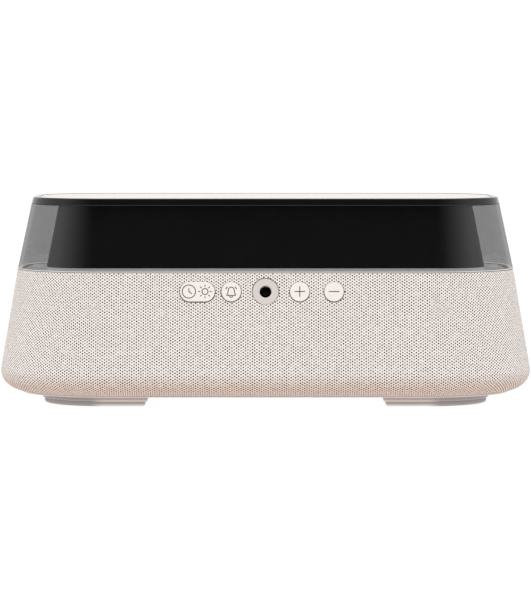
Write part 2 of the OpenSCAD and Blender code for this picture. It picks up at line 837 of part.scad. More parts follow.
module key_boards() {
    color(green) on_face(0) for (s = [0, 1]) mirror([s, 0, 0]) difference() {
        translate([key_board_in, key_board_low, key_board_z - skin - board_t])
            cube([key_board_out - key_board_in, key_board_high - key_board_low, board_t]);
        for (x = [key_boss_in, key_boss_out]) translate([x, key_boss_y, key_board_z + through])
            screw_hole(board_t + 3*through);
    }
}

module key_switches() {
    base_t = 0.8;
    color(black) for (x = [rocker_x - rocker_stem_x, rocker_x + rocker_stem_x, alarm_x, plus_x,
        minus_x])
        on_face(x) difference() {
            translate([-switch_w/2, -switch_w/2, key_board_z]) cube([switch_w, switch_w, switch_h]);
            translate([0, 0, key_board_z + base_t]) cylinder(r = switch_bore_r, h = switch_h,
                $fn = small);
        }
}

module key_board_screws() {
    length = 5;
    color(steel) for (x = key_boss_spots) on_face(x, key_boss_y)
        translate([0, 0, key_board_z - board_t - 2*skin]) mirror([0, 0, 1]) screw(length);
}

// ---- speaker boxes and drivers, facing +Y ----

baffle_t = 3;
basket_r = driver_d/2 - 3.6;
lead_hole_r = 1.6;
lead_hole = [6, 30];                     // y and z of the lead's hole in the box's inner side
driver_screw_r = driver_d/2 - 2;
driver_screw_shank = 0.9;

// Frame of a driver: z points out of the baffle, z = 0 is the baffle's outer face
module at_driver(s) {
    translate([s*box_mid_x, box_front_y, driver_z]) rotate([-90, 0, 0]) children();
}
module at_driver_screws() {
    for (turn = [45:90:315]) rotate([0, 0, turn]) translate([driver_screw_r, 0, 0]) children();
}

// Mounting ear of a speaker box, from its screw's spot in to the box's wall
module ear(at, wall_x) {
    tip = at[0] + sign(at[0] - wall_x)*ear_l/2;
    bar([min(tip, wall_x), at[1] - ear_l/2, box_low], [max(tip, wall_x), at[1] + ear_l/2,
        box_low + ear_t]);
}

module speaker_box(s) {
    out_x = box_in_x + box_w;
    color([0.22, 0.22, 0.23]) mirror([s < 0 ? 1 : 0, 0, 0]) difference() {
        union() {
            bar([box_in_x, box_back_y, box_low], [out_x, box_front_y, box_top]);
            ear(outer_ear, out_x - box_t/2);
            ear(inner_ear, box_in_x + box_t/2);
        }
        bar([box_in_x + box_t, box_back_y - through, box_low + box_t], [out_x - box_t,
            box_front_y - baffle_t, box_top - box_t]);
        at_driver(1) translate([0, 0, -baffle_t - through])
            cylinder(r = basket_r + drop_gap, h = baffle_t + 2*through, $fn = fine);
        at_driver(1) at_driver_screws() translate([0, 0, -baffle_t - through])
            cylinder(r = driver_screw_shank + skin, h = baffle_t + 2*through, $fn = small);
        translate([box_in_x - through, lead_hole[0], lead_hole[1]]) rotate([0, 90, 0])
            cylinder(r = lead_hole_r, h = box_t + 2*through, $fn = small);
        for (p = [outer_ear, inner_ear]) translate([p[0], p[1], box_low + ear_t + through])
            screw_hole(ear_t + 2*through);
    }
}

module speaker_box_backs() {
    back_t = 2;
    plug_t = 1.5;
    plug_gap = 0.2;
    for (s = [0, 1]) color([0.22, 0.22, 0.23]) mirror([s, 0, 0]) {
        bar([box_in_x, box_back_y - back_t, box_low], [box_in_x + box_w, box_back_y - skin, box_top]);
        bar([box_in_x + box_t + plug_gap, box_back_y - back_t/2, box_low + box_t + plug_gap],
            [box_in_x + box_w - box_t - plug_gap, box_back_y + plug_t, box_top - box_t - plug_gap]);
    }
}

module speaker_box_screws() {
    length = 6;
    color(steel) for (s = [-1, 1]) for (p = [outer_ear, inner_ear])
        translate([s*p[0], p[1], box_low + ear_t + skin]) screw(length);
}

rim_t = 1.6;
basket_depth = 13.2;
basket_foot_r = driver_d/2 - 9.4;
shelf_z = -7.6;
pole_r = 6;
coil_in_r = 6.4;
coil_out_r = 7;
gap_r = 7.4;                             // bore of the top plate round the coil
plate_t = 2.5;
magnet_t = 6;
cone_r = basket_r - 3.4;
cone_neck_z = shelf_z + cone_travel + 0.2;
surround_in = cone_r - 0.5;
rim_in_r = basket_r - 1.2;

module driver_baskets() {
    wall = 1.2;
    window_w = 11;
    color(ferrite) for (s = [-1, 1]) at_driver(s) difference() {
        rotate_extrude($fn = fine) polygon([
            [rim_in_r, rim_t], [driver_d/2, rim_t], [driver_d/2, skin], [basket_r, skin],
                [basket_foot_r + 1, -basket_depth],
            [gap_r + 0.8, -basket_depth], [gap_r + 0.8, -basket_depth + wall],
                [basket_foot_r - 0.2, -basket_depth + wall],
            [basket_foot_r + 0.2, shelf_z], [basket_foot_r + 1.8, shelf_z]
        ]);
        for (turn = [0, 90]) rotate([0, 0, turn])
            translate([-driver_d/2, -window_w/2, shelf_z + 1.2])
                cube([driver_d, window_w, -shelf_z - 3.2]);
        at_driver_screws() translate([0, 0, -through])
            cylinder(r = driver_screw_shank + screw_gap, h = rim_t + 2*through, $fn = small);
    }
}

module driver_motor_plates() {
    plate_top = -basket_depth - skin;
    yoke_top = plate_top - plate_t - magnet_t - 2*skin;
    color(steel) for (s = [-1, 1]) at_driver(s) {
        difference() {
            translate([0, 0, plate_top - plate_t]) cylinder(r = basket_foot_r, h = plate_t, $fn = fine);
            translate([0, 0, plate_top - plate_t - through])
                cylinder(r = gap_r, h = plate_t + 2*through, $fn = fine);
        }
        translate([0, 0, yoke_top - plate_t]) cylinder(r = basket_foot_r, h = plate_t, $fn = fine);
        translate([0, 0, yoke_top - through]) cylinder(r = pole_r,
            h = plate_top - yoke_top + through, $fn = fine);
    }
}

module driver_magnets() {
    top = -basket_depth - plate_t - 2*skin;
    ring_in = 9;
    color(ferrite) for (s = [-1, 1]) at_driver(s) difference() {
        translate([0, 0, top - magnet_t]) cylinder(r = basket_foot_r + 1, h = magnet_t, $fn = fine);
        translate([0, 0, top - magnet_t - through]) cylinder(r = ring_in, h = magnet_t + 2*through,
            $fn = fine);
    }
}

module driver_screws() {
    head_r = 1.5;
    head_h = 0.9;
    length = 4;
    color(steel) for (s = [-1, 1]) at_driver(s) at_driver_screws() translate([0, 0, rim_t + skin]) {
        cylinder(r1 = head_r, r2 = head_r - 0.4, h = head_h, $fn = small);
        translate([0, 0, -length]) cylinder(r = driver_screw_shank, h = length + head_h/2, $fn = small);
    }
}

// Paper cone with its domed dust cap
module speaker_cone(s) {
    paper_t = 0.6;
    edge_z = 0.1;
    cap_r = 7.6;
    cap_rise = 2;
    slope = (edge_z - cone_neck_z)/(cone_r - coil_out_r);
    cap_z = cone_neck_z + paper_t + slope*(cap_r - coil_out_r) + skin;
    dome = [for (i = [0:5]) [cap_r*i/5, cap_z + cap_rise*(1 - pow(i/5, 2))]];
    color(paper) at_driver(s) {
        rotate_extrude($fn = fine) polygon([
            [coil_in_r, cone_neck_z], [coil_out_r, cone_neck_z], [cone_r, edge_z], [cone_r,
                edge_z + paper_t],
            [coil_out_r, cone_neck_z + paper_t], [coil_in_r, cone_neck_z + paper_t]
        ]);
        rotate_extrude($fn = fine)
            polygon(concat([for (p = dome) [p[0], p[1] + paper_t]], [for (p = reversed(dome)) p]));
    }
}

module voice_coil(s) {
    coil_l = 10.5;
    color(brass) at_driver(s) translate([0, 0, cone_neck_z - skin - coil_l]) difference() {
        cylinder(r = coil_out_r, h = coil_l, $fn = fine);
        translate([0, 0, -through]) cylinder(r = coil_in_r, h = coil_l + 2*through, $fn = fine);
    }
}

// Half-roll rubber surround from the cone's edge to the basket's rim
module surround(s) {
    foot_w = 1.1;
    wall = 0.45;
    glue_z = 0.75;                       // where the roll is glued to the cone's edge
    base = rim_t + skin;
    roll_r = (rim_in_r + 0.5 - surround_in)/2;
    mid = surround_in + roll_r;
    arc = [for (a = [180:-20:0]) [mid + roll_r*cos(a), base + roll_r*sin(a)]];
    inner_arc = [for (a = [0:20:180]) [mid + (roll_r - wall)*cos(a), base + (roll_r - wall)*sin(a)]];
    color([0.12, 0.12, 0.12]) at_driver(s) rotate_extrude($fn = fine) polygon(concat(
        [[surround_in, glue_z]], arc, [[rim_in_r + foot_w, base]], [[rim_in_r + foot_w, base - skin/2]],
        [[mid + roll_r - wall, base - skin/2]], inner_arc, [[surround_in + wall, glue_z]]
    ));
}

// Corrugated fabric spider between the voice coil and the basket's shelf
module spider(s) {
    inner = coil_out_r + skin;
    outer = basket_foot_r + 1.5;
    cloth_t = 0.35;
    wave = 0.5;
    waves = 8;
    low = shelf_z + skin;
    line = [for (i = [0:waves]) [inner + (outer - inner)*i/waves, low + (i % 2 == 0 ? 0 : wave)]];
    color([0.8, 0.6, 0.3]) at_driver(s) rotate_extrude($fn = fine)
        polygon(concat(line, [for (p = reversed(line)) [p[0], p[1] + cloth_t]]));
}

// ---- main board ----

module main_board() {
    color(green) difference() {
        bar([-board_w/2, -board_l/2, board_z + skin], [board_w/2, board_l/2, board_top]);
        at_quarters(standoff_x, standoff_y, board_top + through) screw_hole(board_t + 2*through);
    }
}

module board_screws() {
    length = 5;
    color(steel) at_quarters(standoff_x, standoff_y, board_top + skin) screw(length);
}

chip_z = board_top + skin;
module board_chips() {
    color(black) for (c = [[-18, 4, 9, 9], [-18, 16, 6, 8], [10, -24, 8, 6], [12, 18, 7, 7]])
        translate([c[0], c[1], chip_z]) cube([c[2], c[3], 1.2]);
}

module board_capacitors() {
    sleeve_r = 3.1;
    color([0.2, 0.2, 0.35]) for (p = [[-16, -19], [-8, -19], [0, -19], [12, 11]])
        translate([p[0], p[1], chip_z]) difference() {
            cylinder(r = sleeve_r, h = 8, $fn = small);
            for (turn = [0, 90]) rotate([0, 0, turn]) translate([-sleeve_r/2, -0.15, 7.6])
                cube([sleeve_r, 0.3, through]);
        }
}

display_plug_y = board_l/2 - 5;
key_plug_y = -(board_l/2 - 9);
key_plug_x = 19;
speaker_plug = [board_w/2 - 5, lead_hole[0]];
jack_plug = [0, -(board_l/2 - 5)];
plug_h = 4;
module board_connectors() {
    color(white) {
        translate([-8, display_plug_y - 2, chip_z]) cube([16, 4, plug_h]);
        for (s = [-1, 1]) {
            translate([s*key_plug_x - 4, key_plug_y - 2, chip_z]) cube([8, 4, plug_h]);
            translate([s*speaker_plug[0] - 2.5, speaker_plug[1] - 3, chip_z]) cube([5, 6, plug_h]);
        }
        translate([jack_plug[0] - 3, jack_plug[1] - 2.5, chip_z]) cube([6, 5, plug_h]);
    }
}

module shield_can() {
    can = [20, 18, 3];
    wall = 0.3;
    corner = [-2, -14, chip_z];
    color(steel) difference() {
        translate(corner) cube(can);
        translate(corner + [wall, wall, -through]) cube(can - [2*wall, 2*wall, wall - through]);
    }
}

// Finned aluminium block over the processor
module heat_spreader() {
    low = chip_z + 1.2 + skin;
    base_t = 1.2;
    fin_h = 6;
    fin_t = 1;
    fin_pitch = 2.6;
    fins = 5;
    size = (fins - 1)*fin_pitch + fin_t;
    corner = [-19, 3, low];
    color(steel) {
        translate(corner) cube([size, size, base_t]);
        for (i = [0:fins - 1]) translate(corner + [i*fin_pitch, 0, base_t/2])
            cube([fin_t, size, fin_h]);
    }
}

// ---- ribbons and leads inside ----

// Flat strip of thickness t that follows a path of points in the YZ plane, mitred at its bends
function turned(v) = [-v[1], v[0]]/norm(v);
function strip_normal(path, i) = let (
    before = turned(path[max(i, 1)] - path[max(i, 1) - 1]),
    after = turned(path[min(i, len(path) - 2) + 1] - path[min(i, len(path) - 2)]),
    mid = before + after
) mid*2/(mid*mid);
function strip_outline(path, t) = concat(
    [for (i = [0:len(path) - 1]) path[i] + strip_normal(path, i)*t/2],
    [for (i = [len(path) - 1:-1:0]) path[i] - strip_normal(path, i)*t/2]
);
module strip(path, width, t) {
    translate([-width/2, 0, 0]) rotate([90, 0, 90]) linear_extrude(width)
        polygon(strip_outline(path, t));
}

// Point of the control side's frame, given in the YZ plane
function face_point(y, z) = [
    -(body_d/2 + wall_off(key_z, 0)) + y*sin(lean) - z*cos(lean),
    key_z + y*cos(lean) + z*sin(lean)
];

module ribbon_cables() {
    ribbon_t = 0.4;
    top = chip_z + plug_h + skin;
    slot_mid = (cable_slot_y[0] + cable_slot_y[1])/2;
    from_display = [
        [display_board_y - board_t - ribbon_t, display_floor + 6], [slot_mid, display_floor + 4],
        [slot_mid, top + 12], [display_plug_y, top + 6], [display_plug_y, top]
    ];
    start = face_point(key_board_low + 7, key_board_z - board_t - ribbon_t);
    from_keys = [start, start + [4, -6], [key_plug_y, top + 12], [key_plug_y, top]];
    color([0.85, 0.8, 0.6]) {
        strip(from_display, 14, ribbon_t);
        for (s = [-1, 1]) translate([s*key_plug_x, 0, 0]) strip(from_keys, 6, ribbon_t);
    }
}

// Round lead along a quadratic curve from a to c, drawn towards b
lead_sides = 8;
lead_rings = 14;
function bend(a, b, c, t) = a*pow(1 - t, 2) + b*2*t*(1 - t) + c*pow(t, 2);
function bend_way(a, b, c, t) = (b - a)*2*(1 - t) + (c - b)*2*t;
function unit(v) = v/norm(v);
module lead(a, b, c, r) {
    flat = unit(cross(b - a, c - b));
    rings = [for (i = [0:lead_rings]) let (
        t = i/lead_rings,
        at = bend(a, b, c, t),
        side = unit(cross(bend_way(a, b, c, t), flat))
    ) each [for (k = [0:lead_sides - 1])
        at + r*(cos(360*k/lead_sides)*flat + sin(360*k/lead_sides)*side)]];
    last = lead_rings*lead_sides;
    polyhedron(rings, concat(
        [[for (k = [0:lead_sides - 1]) k]],
        [for (i = [0:lead_rings - 1]) for (k = [0:lead_sides - 1]) let (n = (k + 1) % lead_sides)
            [i*lead_sides + n, i*lead_sides + k, (i + 1)*lead_sides + k, (i + 1)*lead_sides + n]],
        [[for (k = [lead_sides - 1:-1:0]) last + k]]
    ));
}

module internal_leads() {
    r = 1.1;
    top = chip_z + plug_h + skin;
    tab = face_point(0, jack_end - 3.6);
    color([0.7, 0.12, 0.1]) {
        for (s = [-1, 1]) lead([s*(box_in_x + box_t + 2), lead_hole[0], lead_hole[1]],
            [s*speaker_plug[0], lead_hole[0], lead_hole[1] + 2], [s*speaker_plug[0],
                speaker_plug[1], top], r);
        lead([0, tab[0], tab[1]], [0, jack_plug[1], tab[1] - 4], [0, jack_plug[1], top], r);
    }
}

base_tray();
foot_plinth(-1);  // left_foot_plinth
foot_plinth(1);  // right_foot_plinth
foot_pad(-1);  // left_foot_pad
foot_pad(1);  // right_foot_pad
foot_screws();
tray_screws();
body_shell();
fabric_sleeve();
mid_deck();
deck_screws();
lens_gasket();
smoked_lens();
core_spacer();
display_core();
core_screws();
top_frame();
frame_screws();
top_pad();
display_board();
digit_housing();
digit_segments();
display_window();
mic_board();
jack_bezel();
jack_nut();
dc_jack();
dc_jack_pin();
rocker_key();
round_key(alarm_x);  // alarm_key
round_key(plus_x);  // plus_key
round_key(minus_x);  // minus_key
key_boards();
key_switches();
key_board_screws();
speaker_box(-1);  // left_speaker_box
speaker_box(1);  // right_speaker_box
speaker_box_backs();
speaker_box_screws();
driver_baskets();
driver_motor_plates();
driver_magnets();
driver_screws();
speaker_cone(-1);  // left_cone
speaker_cone(1);  // right_cone
voice_coil(-1);  // left_voice_coil
voice_coil(1);  // right_voice_coil
surround(-1);  // left_surround
surround(1);  // right_surround
spider(-1);  // left_spider
spider(1);  // right_spider
main_board();
board_screws();
board_chips();
board_capacitors();
board_connectors();
shield_can();
heat_spreader();
ribbon_cables();
internal_leads();
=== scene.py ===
# Smart home hub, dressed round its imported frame. Metres, +Z up, the control side faces -Y.
import bpy
import numpy as np
from math import cos, hypot, pi, radians, sin
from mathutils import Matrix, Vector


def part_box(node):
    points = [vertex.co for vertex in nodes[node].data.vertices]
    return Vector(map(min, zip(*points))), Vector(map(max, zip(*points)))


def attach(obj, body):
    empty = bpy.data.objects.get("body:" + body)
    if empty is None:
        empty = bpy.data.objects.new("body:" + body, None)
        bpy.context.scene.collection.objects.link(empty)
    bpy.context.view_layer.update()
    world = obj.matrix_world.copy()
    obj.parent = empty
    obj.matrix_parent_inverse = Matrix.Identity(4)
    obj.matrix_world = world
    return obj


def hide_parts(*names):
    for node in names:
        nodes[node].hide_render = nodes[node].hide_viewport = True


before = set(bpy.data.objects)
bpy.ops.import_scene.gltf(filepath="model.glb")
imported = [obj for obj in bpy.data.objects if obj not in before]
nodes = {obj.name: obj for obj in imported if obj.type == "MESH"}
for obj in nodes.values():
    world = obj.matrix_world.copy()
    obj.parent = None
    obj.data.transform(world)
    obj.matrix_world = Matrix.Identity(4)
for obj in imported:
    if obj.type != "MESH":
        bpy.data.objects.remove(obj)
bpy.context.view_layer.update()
mm = 0.001
print("stage: frame loaded,", len(nodes), "nodes")


# Camera, floor and light

studio = {
    "cameraAway": 1.560,        # in front of the hub's middle
    "cameraHeight": 0.1486,
    "cameraDip": 3.63,          # degrees below the horizon
    "lens": 186.5,              # millimetres on a 36 mm sensor
    "floorHalf": 9.0,
    "floorGlow": 1.05,
    "floorGlowShare": 0.9,      # how much of the floor's look is its own even glow
    "skyLight": 1.05,
    "topLamp": 9.0,             # watts
    "lampPlace": (0, 0.2, 2.2),
    "lampSize": (2.4, 1.6),
    "cardAway": 2.6,            # radius of the curved card that the glossy parts reflect
    "cardLow": -0.3,
    "cardHigh": 3.2,
    "cardHalfTurn": 88.0,       # degrees of card each side of the middle
    "cardSteps": 89,
    "cardDark": 15.5,           # degrees each side of the middle that stay dark
    "cardBright": 66.0,         # degrees each side where the card is fully bright
}


# linear colour of a display colour given as three numbers from 0 to 255
def tone(red, green, blue):
    share = np.array([red, green, blue]) / 255
    linear = np.where(share <= 0.04045, share / 12.92, ((share + 0.055) / 1.055) ** 2.4)
    return (*linear.tolist(), 1.0)


# A socket in an expression: each operator adds one Math node to the socket's own tree
class Wire:
    def __init__(self, socket):
        self.socket = socket

    def math(self, operation, *others, clamp=False):
        tree = self.socket.id_data
        made = tree.nodes.new("ShaderNodeMath")
        made.operation = operation
        made.use_clamp = clamp
        for place, value in enumerate((self, *others)):
            if isinstance(value, Wire):
                tree.links.new(value.socket, made.inputs[place])
            else:
                made.inputs[place].default_value = value
        return Wire(made.outputs[0])

    # value - self and value / self, where the plain number comes first
    def after(self, operation, value):
        made = self.socket.id_data.nodes.new("ShaderNodeMath")
        made.operation = operation
        made.inputs[0].default_value = value
        self.socket.id_data.links.new(self.socket, made.inputs[1])
        return Wire(made.outputs[0])

    def __add__(self, other):
        return self.math("ADD", other)

    def __sub__(self, other):
        return self.math("SUBTRACT", other)

    def __mul__(self, other):
        return self.math("MULTIPLY", other)

    def __truediv__(self, other):
        return self.math("DIVIDE", other)

    def __pow__(self, other):
        return self.math("POWER", other)

    def __rsub__(self, value):
        return self.after("SUBTRACT", value)

    def __rtruediv__(self, value):
        return self.after("DIVIDE", value)

    __radd__ = __add__
    __rmul__ = __mul__

    def wave(self):                       # cosine of whole turns
        return (self * (2 * pi)).math("COSINE")

    def ease(self, low, high):            # 0 below low, 1 above high, a straight ramp between
        return ((self - low) / (high - low)).math("MULTIPLY", 1.0, clamp=True)


# One material's node tree
class Finish:
    def __init__(self, name, world=None):
        self.material = world or bpy.data.materials.new(name)
        self.material.use_nodes = True
        self.tree = self.material.node_tree
        self.tree.nodes.clear()

    # adds a node of a type: its settings first, then the values or links of its sockets
    def node(self, kind, settings=None, sockets=None):
        made = self.tree.nodes.new(kind)
        for key, value in (settings or {}).items():
            if key == "stops":
                points = made.color_ramp.elements
                while len(points) < len(value):
                    points.new(1.0)
                for point, (place, colour) in zip(points, value):
                    point.position, point.color = place, colour
            else:
                setattr(made, key, value)
        for key, value in (sockets or {}).items():
            if isinstance(value, Wire):
                self.tree.links.new(value.socket, made.inputs[key])
            else:
                made.inputs[key].default_value = value
        return made

    def wire(self, kind, outlet, settings=None, sockets=None):
        return Wire(self.node(kind, settings, sockets).outputs[outlet])

    def place(self):                      # metres in the shared frame
        return self.wire("ShaderNodeTexCoord", "Object")

    def cloth(self):                      # the piece's own stitch counts
        return self.wire("ShaderNodeUVMap", "UV", {"uv_map": "stitches"})

    def parts(self, vector):
        made = self.node("ShaderNodeSeparateXYZ", None, {0: vector})
        return [Wire(outlet) for outlet in made.outputs]

    def stretched(self, vector, scale):   # the vector with each part times its own number
        return self.wire("ShaderNodeVectorMath", 0, {"operation": "MULTIPLY"}, {0: vector, 1: scale})

    def noise(self, vector, scale, detail=2.0, roughness=0.5):
        return self.wire("ShaderNodeTexNoise", 0, None,
                         {"Vector": vector, "Scale": scale, "Detail": detail, "Roughness": roughness})

    def blend(self, share, first, second):
        return self.wire("ShaderNodeMix", 2, {"data_type": "RGBA"}, {0: share, 6: first, 7: second})

    def shaded(self, colour, factor):     # the colour times a number that changes over the surface
        grey = self.node("ShaderNodeCombineColor", None, {0: factor, 1: factor, 2: factor})
        return self.wire("ShaderNodeMix", 2, {"data_type": "RGBA", "blend_type": "MULTIPLY"},
                         {0: 1.0, 6: colour, 7: Wire(grey.outputs[0])})

    def bump(self, height, distance, strength=1.0):
        return self.wire("ShaderNodeBump", 0, None,
                         {"Height": height, "Distance": distance, "Strength": strength})

    def finish(self, shader):
        out = self.node("ShaderNodeOutputMaterial")
        self.tree.links.new(shader.socket, out.inputs["Surface"])
        return self.material

    def solid(self, sockets):
        return self.finish(self.wire("ShaderNodeBsdfPrincipled", 0, None, sockets))


def addCamera():
    data = bpy.data.cameras.new("camera")
    data.lens = studio["lens"]
    data.sensor_width = 36.0
    data.clip_end = 100.0
    camera = bpy.data.objects.new("camera", data)
    camera.location = (0, -studio["cameraAway"], studio["cameraHeight"])
    camera.rotation_euler = (radians(90 - studio["cameraDip"]), 0, 0)
    bpy.context.collection.objects.link(camera)
    bpy.context.scene.camera = camera


def addWorld():
    world = bpy.data.worlds.new("studio_sky")
    bpy.context.scene.world = world
    sky = Finish("studio_sky", world)
    light = sky.node("ShaderNodeBackground", None,
                     {"Color": (1, 1, 1, 1), "Strength": studio["skyLight"]})
    out = sky.node("ShaderNodeOutputWorld")
    sky.tree.links.new(light.outputs[0], out.inputs["Surface"])
    bpy.context.scene.view_settings.view_transform = "Standard"


# a flat square, the floor
def addFloor():
    half = studio["floorHalf"]
    mesh = bpy.data.meshes.new("floor")
    corners = [(-half, -half, 0), (half, -half, 0), (half, half, 0), (-half, half, 0)]
    mesh.from_pydata(corners, [], [(0, 1, 2, 3)])
    floor = bpy.data.objects.new("floor", mesh)
    bpy.context.collection.objects.link(floor)
    look = Finish("floor")
    dust = look.noise(look.place(), 3.0)
    pale = 0.93
    shade = look.shaded((pale, pale, pale, 1), 0.98 + 0.02 * dust)
    diffuse = look.wire("ShaderNodeBsdfDiffuse", 0, None, {"Color": shade})
    glow = look.wire("ShaderNodeEmission", 0, None,
                     {"Color": (1, 1, 1, 1), "Strength": studio["floorGlow"]})
    mixed = look.wire("ShaderNodeMixShader", 0, None,
                      {0: studio["floorGlowShare"], 1: diffuse, 2: glow})
    floor.data.materials.append(look.finish(mixed))


# A curved card behind the camera that only reflections see: dark in the middle and bright at both sides.
# Its points stand at (away sin a, -away cos a).
def addCard():
    away = studio["cardAway"]
    count = studio["cardSteps"]
    turn = np.radians(np.linspace(-studio["cardHalfTurn"], studio["cardHalfTurn"], count))
    heights = np.array([studio["cardLow"], studio["cardHigh"]])
    grid = np.stack([np.broadcast_to(away * np.sin(turn), (2, count)),
                     np.broadcast_to(-away * np.cos(turn), (2, count)),
                     np.broadcast_to(heights[:, None], (2, count))], -1)
    left = np.arange(count - 1)
    faces = np.stack([left, left + 1, left + 1 + count, left + count], -1)
    mesh = bpy.data.meshes.new("card")
    mesh.from_pydata(grid.reshape(-1, 3).tolist(), [], faces.tolist())
    card = bpy.data.objects.new("card", mesh)
    bpy.context.collection.objects.link(card)
    look = Finish("card")
    across, along, _ = look.parts(look.place())
    angle = across.math("ABSOLUTE").math("ARCTAN2", along * -1.0)
    light = angle.ease(radians(studio["cardDark"]), radians(studio["cardBright"]))
    shine = look.node("ShaderNodeEmission", None,
                      {"Color": (1, 1, 1, 1), "Strength": 0.02 + 0.98 * light ** 1.4})
    card.data.materials.append(look.finish(Wire(shine.outputs[0])))
    for rays in ("visible_camera", "visible_diffuse", "visible_shadow", "visible_transmission"):
        setattr(card, rays, False)


def addLamp():
    data = bpy.data.lights.new("top_lamp", "AREA")
    data.energy = studio["topLamp"]
    data.shape = "RECTANGLE"
    data.size, data.size_y = studio["lampSize"]
    lamp = bpy.data.objects.new("top_lamp", data)
    lamp.location = studio["lampPlace"]
    lamp.visible_camera = False
    bpy.context.collection.objects.link(lamp)


addCamera()
addWorld()
addFloor()
addCard()
addLamp()
print("stage: studio ready")


# Finishes

# Moulded plastic: its colour drifts slowly, its roughness and bump follow a fine grain
def moulded(name, colour, rough, grain=2600, bumpDepth=0.02, drift=0.05, sockets=None):
    look = Finish(name)
    place = look.place()
    slow = look.noise(place, 28.0, 3.0)
    fine = look.noise(place, grain, 2.0, 0.6)
    return look.solid({
        "Base Color": look.shaded(tone(*colour), 1 - drift + drift * 2 * slow + 0.03 * (fine - 0.5)),
        "Roughness": rough - 0.05 + 0.1 * slow + 0.06 * fine,
        "Normal": look.bump(fine, bumpDepth * mm, 0.5),
        **(sockets or {}),
    })


# Metal: brushed lines along one axis vary the roughness, with dull patches over them
def metal(name, colour, rough, lines=(300, 300, 9000), bumpDepth=0.008):
    look = Finish(name)
    place = look.place()
    brushed = look.noise(look.stretched(place, lines), 1.0, 3.0, 0.6)
    patch = look.noise(place, 120.0, 4.0)
    return look.solid({
        "Base Color": look.shaded(tone(*colour), 0.82 + 0.3 * patch),
        "Metallic": 1.0,
        "Roughness": rough - 0.08 + 0.12 * brushed + 0.1 * patch,
        "Normal": look.bump(brushed, bumpDepth * mm, 0.6),
    })


# Woven or pressed stuff: two crossed waves for threads and a fibrous noise over them
def fibrous(name, colour, pitch, rough=0.85, contrast=0.35):
    look = Finish(name)
    place = look.place()
    across, along, up = look.parts(look.stretched(place, (1 / (pitch * mm),) * 3))
    threads = (across + along * 0.3).wave() * (up + along * 0.3).wave()
    fibre = look.noise(place, 3500.0, 3.0, 0.7)
    height = 0.5 + 0.3 * threads + 0.4 * (fibre - 0.5)
    return look.solid({
        "Base Color": look.shaded(tone(*colour), 1 - contrast + contrast * height),
        "Roughness": rough,
        "Normal": look.bump(height, 0.06 * mm, 0.7),
    })


# Circuit board: solder mask with a faint net of tracks and small bright pads
def boardFinish():
    look = Finish("solder_mask")
    place = look.place()
    cells = look.wire("ShaderNodeTexVoronoi", 0, {"feature": "F1", "distance": "CHEBYCHEV"},
                      {"Vector": place, "Scale": 260.0, "Randomness": 0.55})
    tracks = 1 - (cells - 0.42).math("ABSOLUTE").ease(0.03, 0.06)
    pads = 1 - cells.ease(0.10, 0.14)
    mask = look.blend(tracks * 0.55, tone(16, 74, 48), tone(38, 112, 72))
    return look.solid({
        "Base Color": look.blend(pads, mask, tone(196, 178, 132)),
        "Metallic": pads * 0.9,
        "Roughness": 0.42 - 0.12 * pads,
        "Normal": look.bump(tracks + pads, 0.03 * mm, 0.6),
    })


# Smoked clear wall: what is behind it shows through, darkened by its outer faces and by its inner ones, each
# to its own share, under a polished surface that reflects 0.04 + grazing * facing^5 of the light, with faint
# dust. Its cut edges, below and above the two heights in rims, glow by emission as painted highlights.
def smoked(name, outer, inner, dust=0.02, grazing=0.96, rims=None):
    look = Finish(name)
    place = look.place()
    specks = look.noise(place, 900.0, 4.0, 0.7)
    depth = look.wire("ShaderNodeAttribute", "Fac", {"attribute_name": "depth"})
    faces = [look.wire("ShaderNodeBsdfTransparent", 0, None, {"Color": (share, share, share * 1.006, 1)})
             for share in (outer, inner)]
    seen = look.wire("ShaderNodeMixShader", 0, None, {0: depth, 1: faces[0], 2: faces[1]})
    gloss = look.wire("ShaderNodeBsdfGlossy", 0, None, {
        "Color": (1, 1, 1, 1), "Roughness": 0.015 + dust * specks,
        "Normal": look.bump(look.noise(place, 35.0, 1.0), 0.01 * mm, 0.1)})
    facing = look.wire("ShaderNodeLayerWeight", 1, None, {"Blend": 0.5})
    reflected = 0.04 + grazing * facing ** 5.0
    wall = look.wire("ShaderNodeMixShader", 0, None, {0: reflected, 1: seen, 2: gloss})
    if not rims:
        return look.finish(wall)
    # painted highlight: the band's lower and upper cut edges glow by emission
    height = look.parts(place)[2] / mm
    low = 1 - height.ease(rims["low"], rims["low"] + 0.12)
    high = height.ease(rims["high"], rims["high"] + 0.1)
    shine = rims["lowGlow"] * low + rims["highGlow"] * high
    glow = look.wire("ShaderNodeEmission", 0, None, {"Color": (1, 0.99, 0.97, 1), "Strength": shine})
    return look.finish(look.wire("ShaderNodeMixShader", 0, None,
                                 {0: rims["share"] * (low + high), 1: wall, 2: glow}))


# Foam seal: dark on the faces that look outwards; the inner ones have the deck's pale colour, painted light
# that stands in for the light seen through the band there
def sealFinish(name, outer, inner):
    look = Finish(name)
    place = look.place()
    normal = look.wire("ShaderNodeNewGeometry", "Normal")
    outward = look.wire("ShaderNodeVectorMath", "Value", {"operation": "DOT_PRODUCT"},
                        {0: normal, 1: place})
    fine = look.noise(place, 1500.0, 3.0)
    colour = look.blend(outward.ease(-0.02, 0.0), tone(*inner), tone(*outer))
    return look.solid({
        "Base Color": look.shaded(colour, 0.9 + 0.2 * fine),
        "Roughness": 0.7 + 0.1 * fine,
        "Normal": look.bump(fine, 0.03 * mm, 0.5),
    })


# Milky light pipe: lit or dark, its brightness drifting a little with a fine noise
def segmentFinish(name, colour, glow):
    look = Finish(name)
    fine = look.noise(look.place(), 1500.0, 3.0)
    shade = look.shaded(tone(*colour), 0.9 + 0.2 * fine)
    return look.solid({"Base Color": shade, "Roughness": 0.35 + 0.1 * fine,
                       "Emission Color": shade, "Emission Strength": glow})
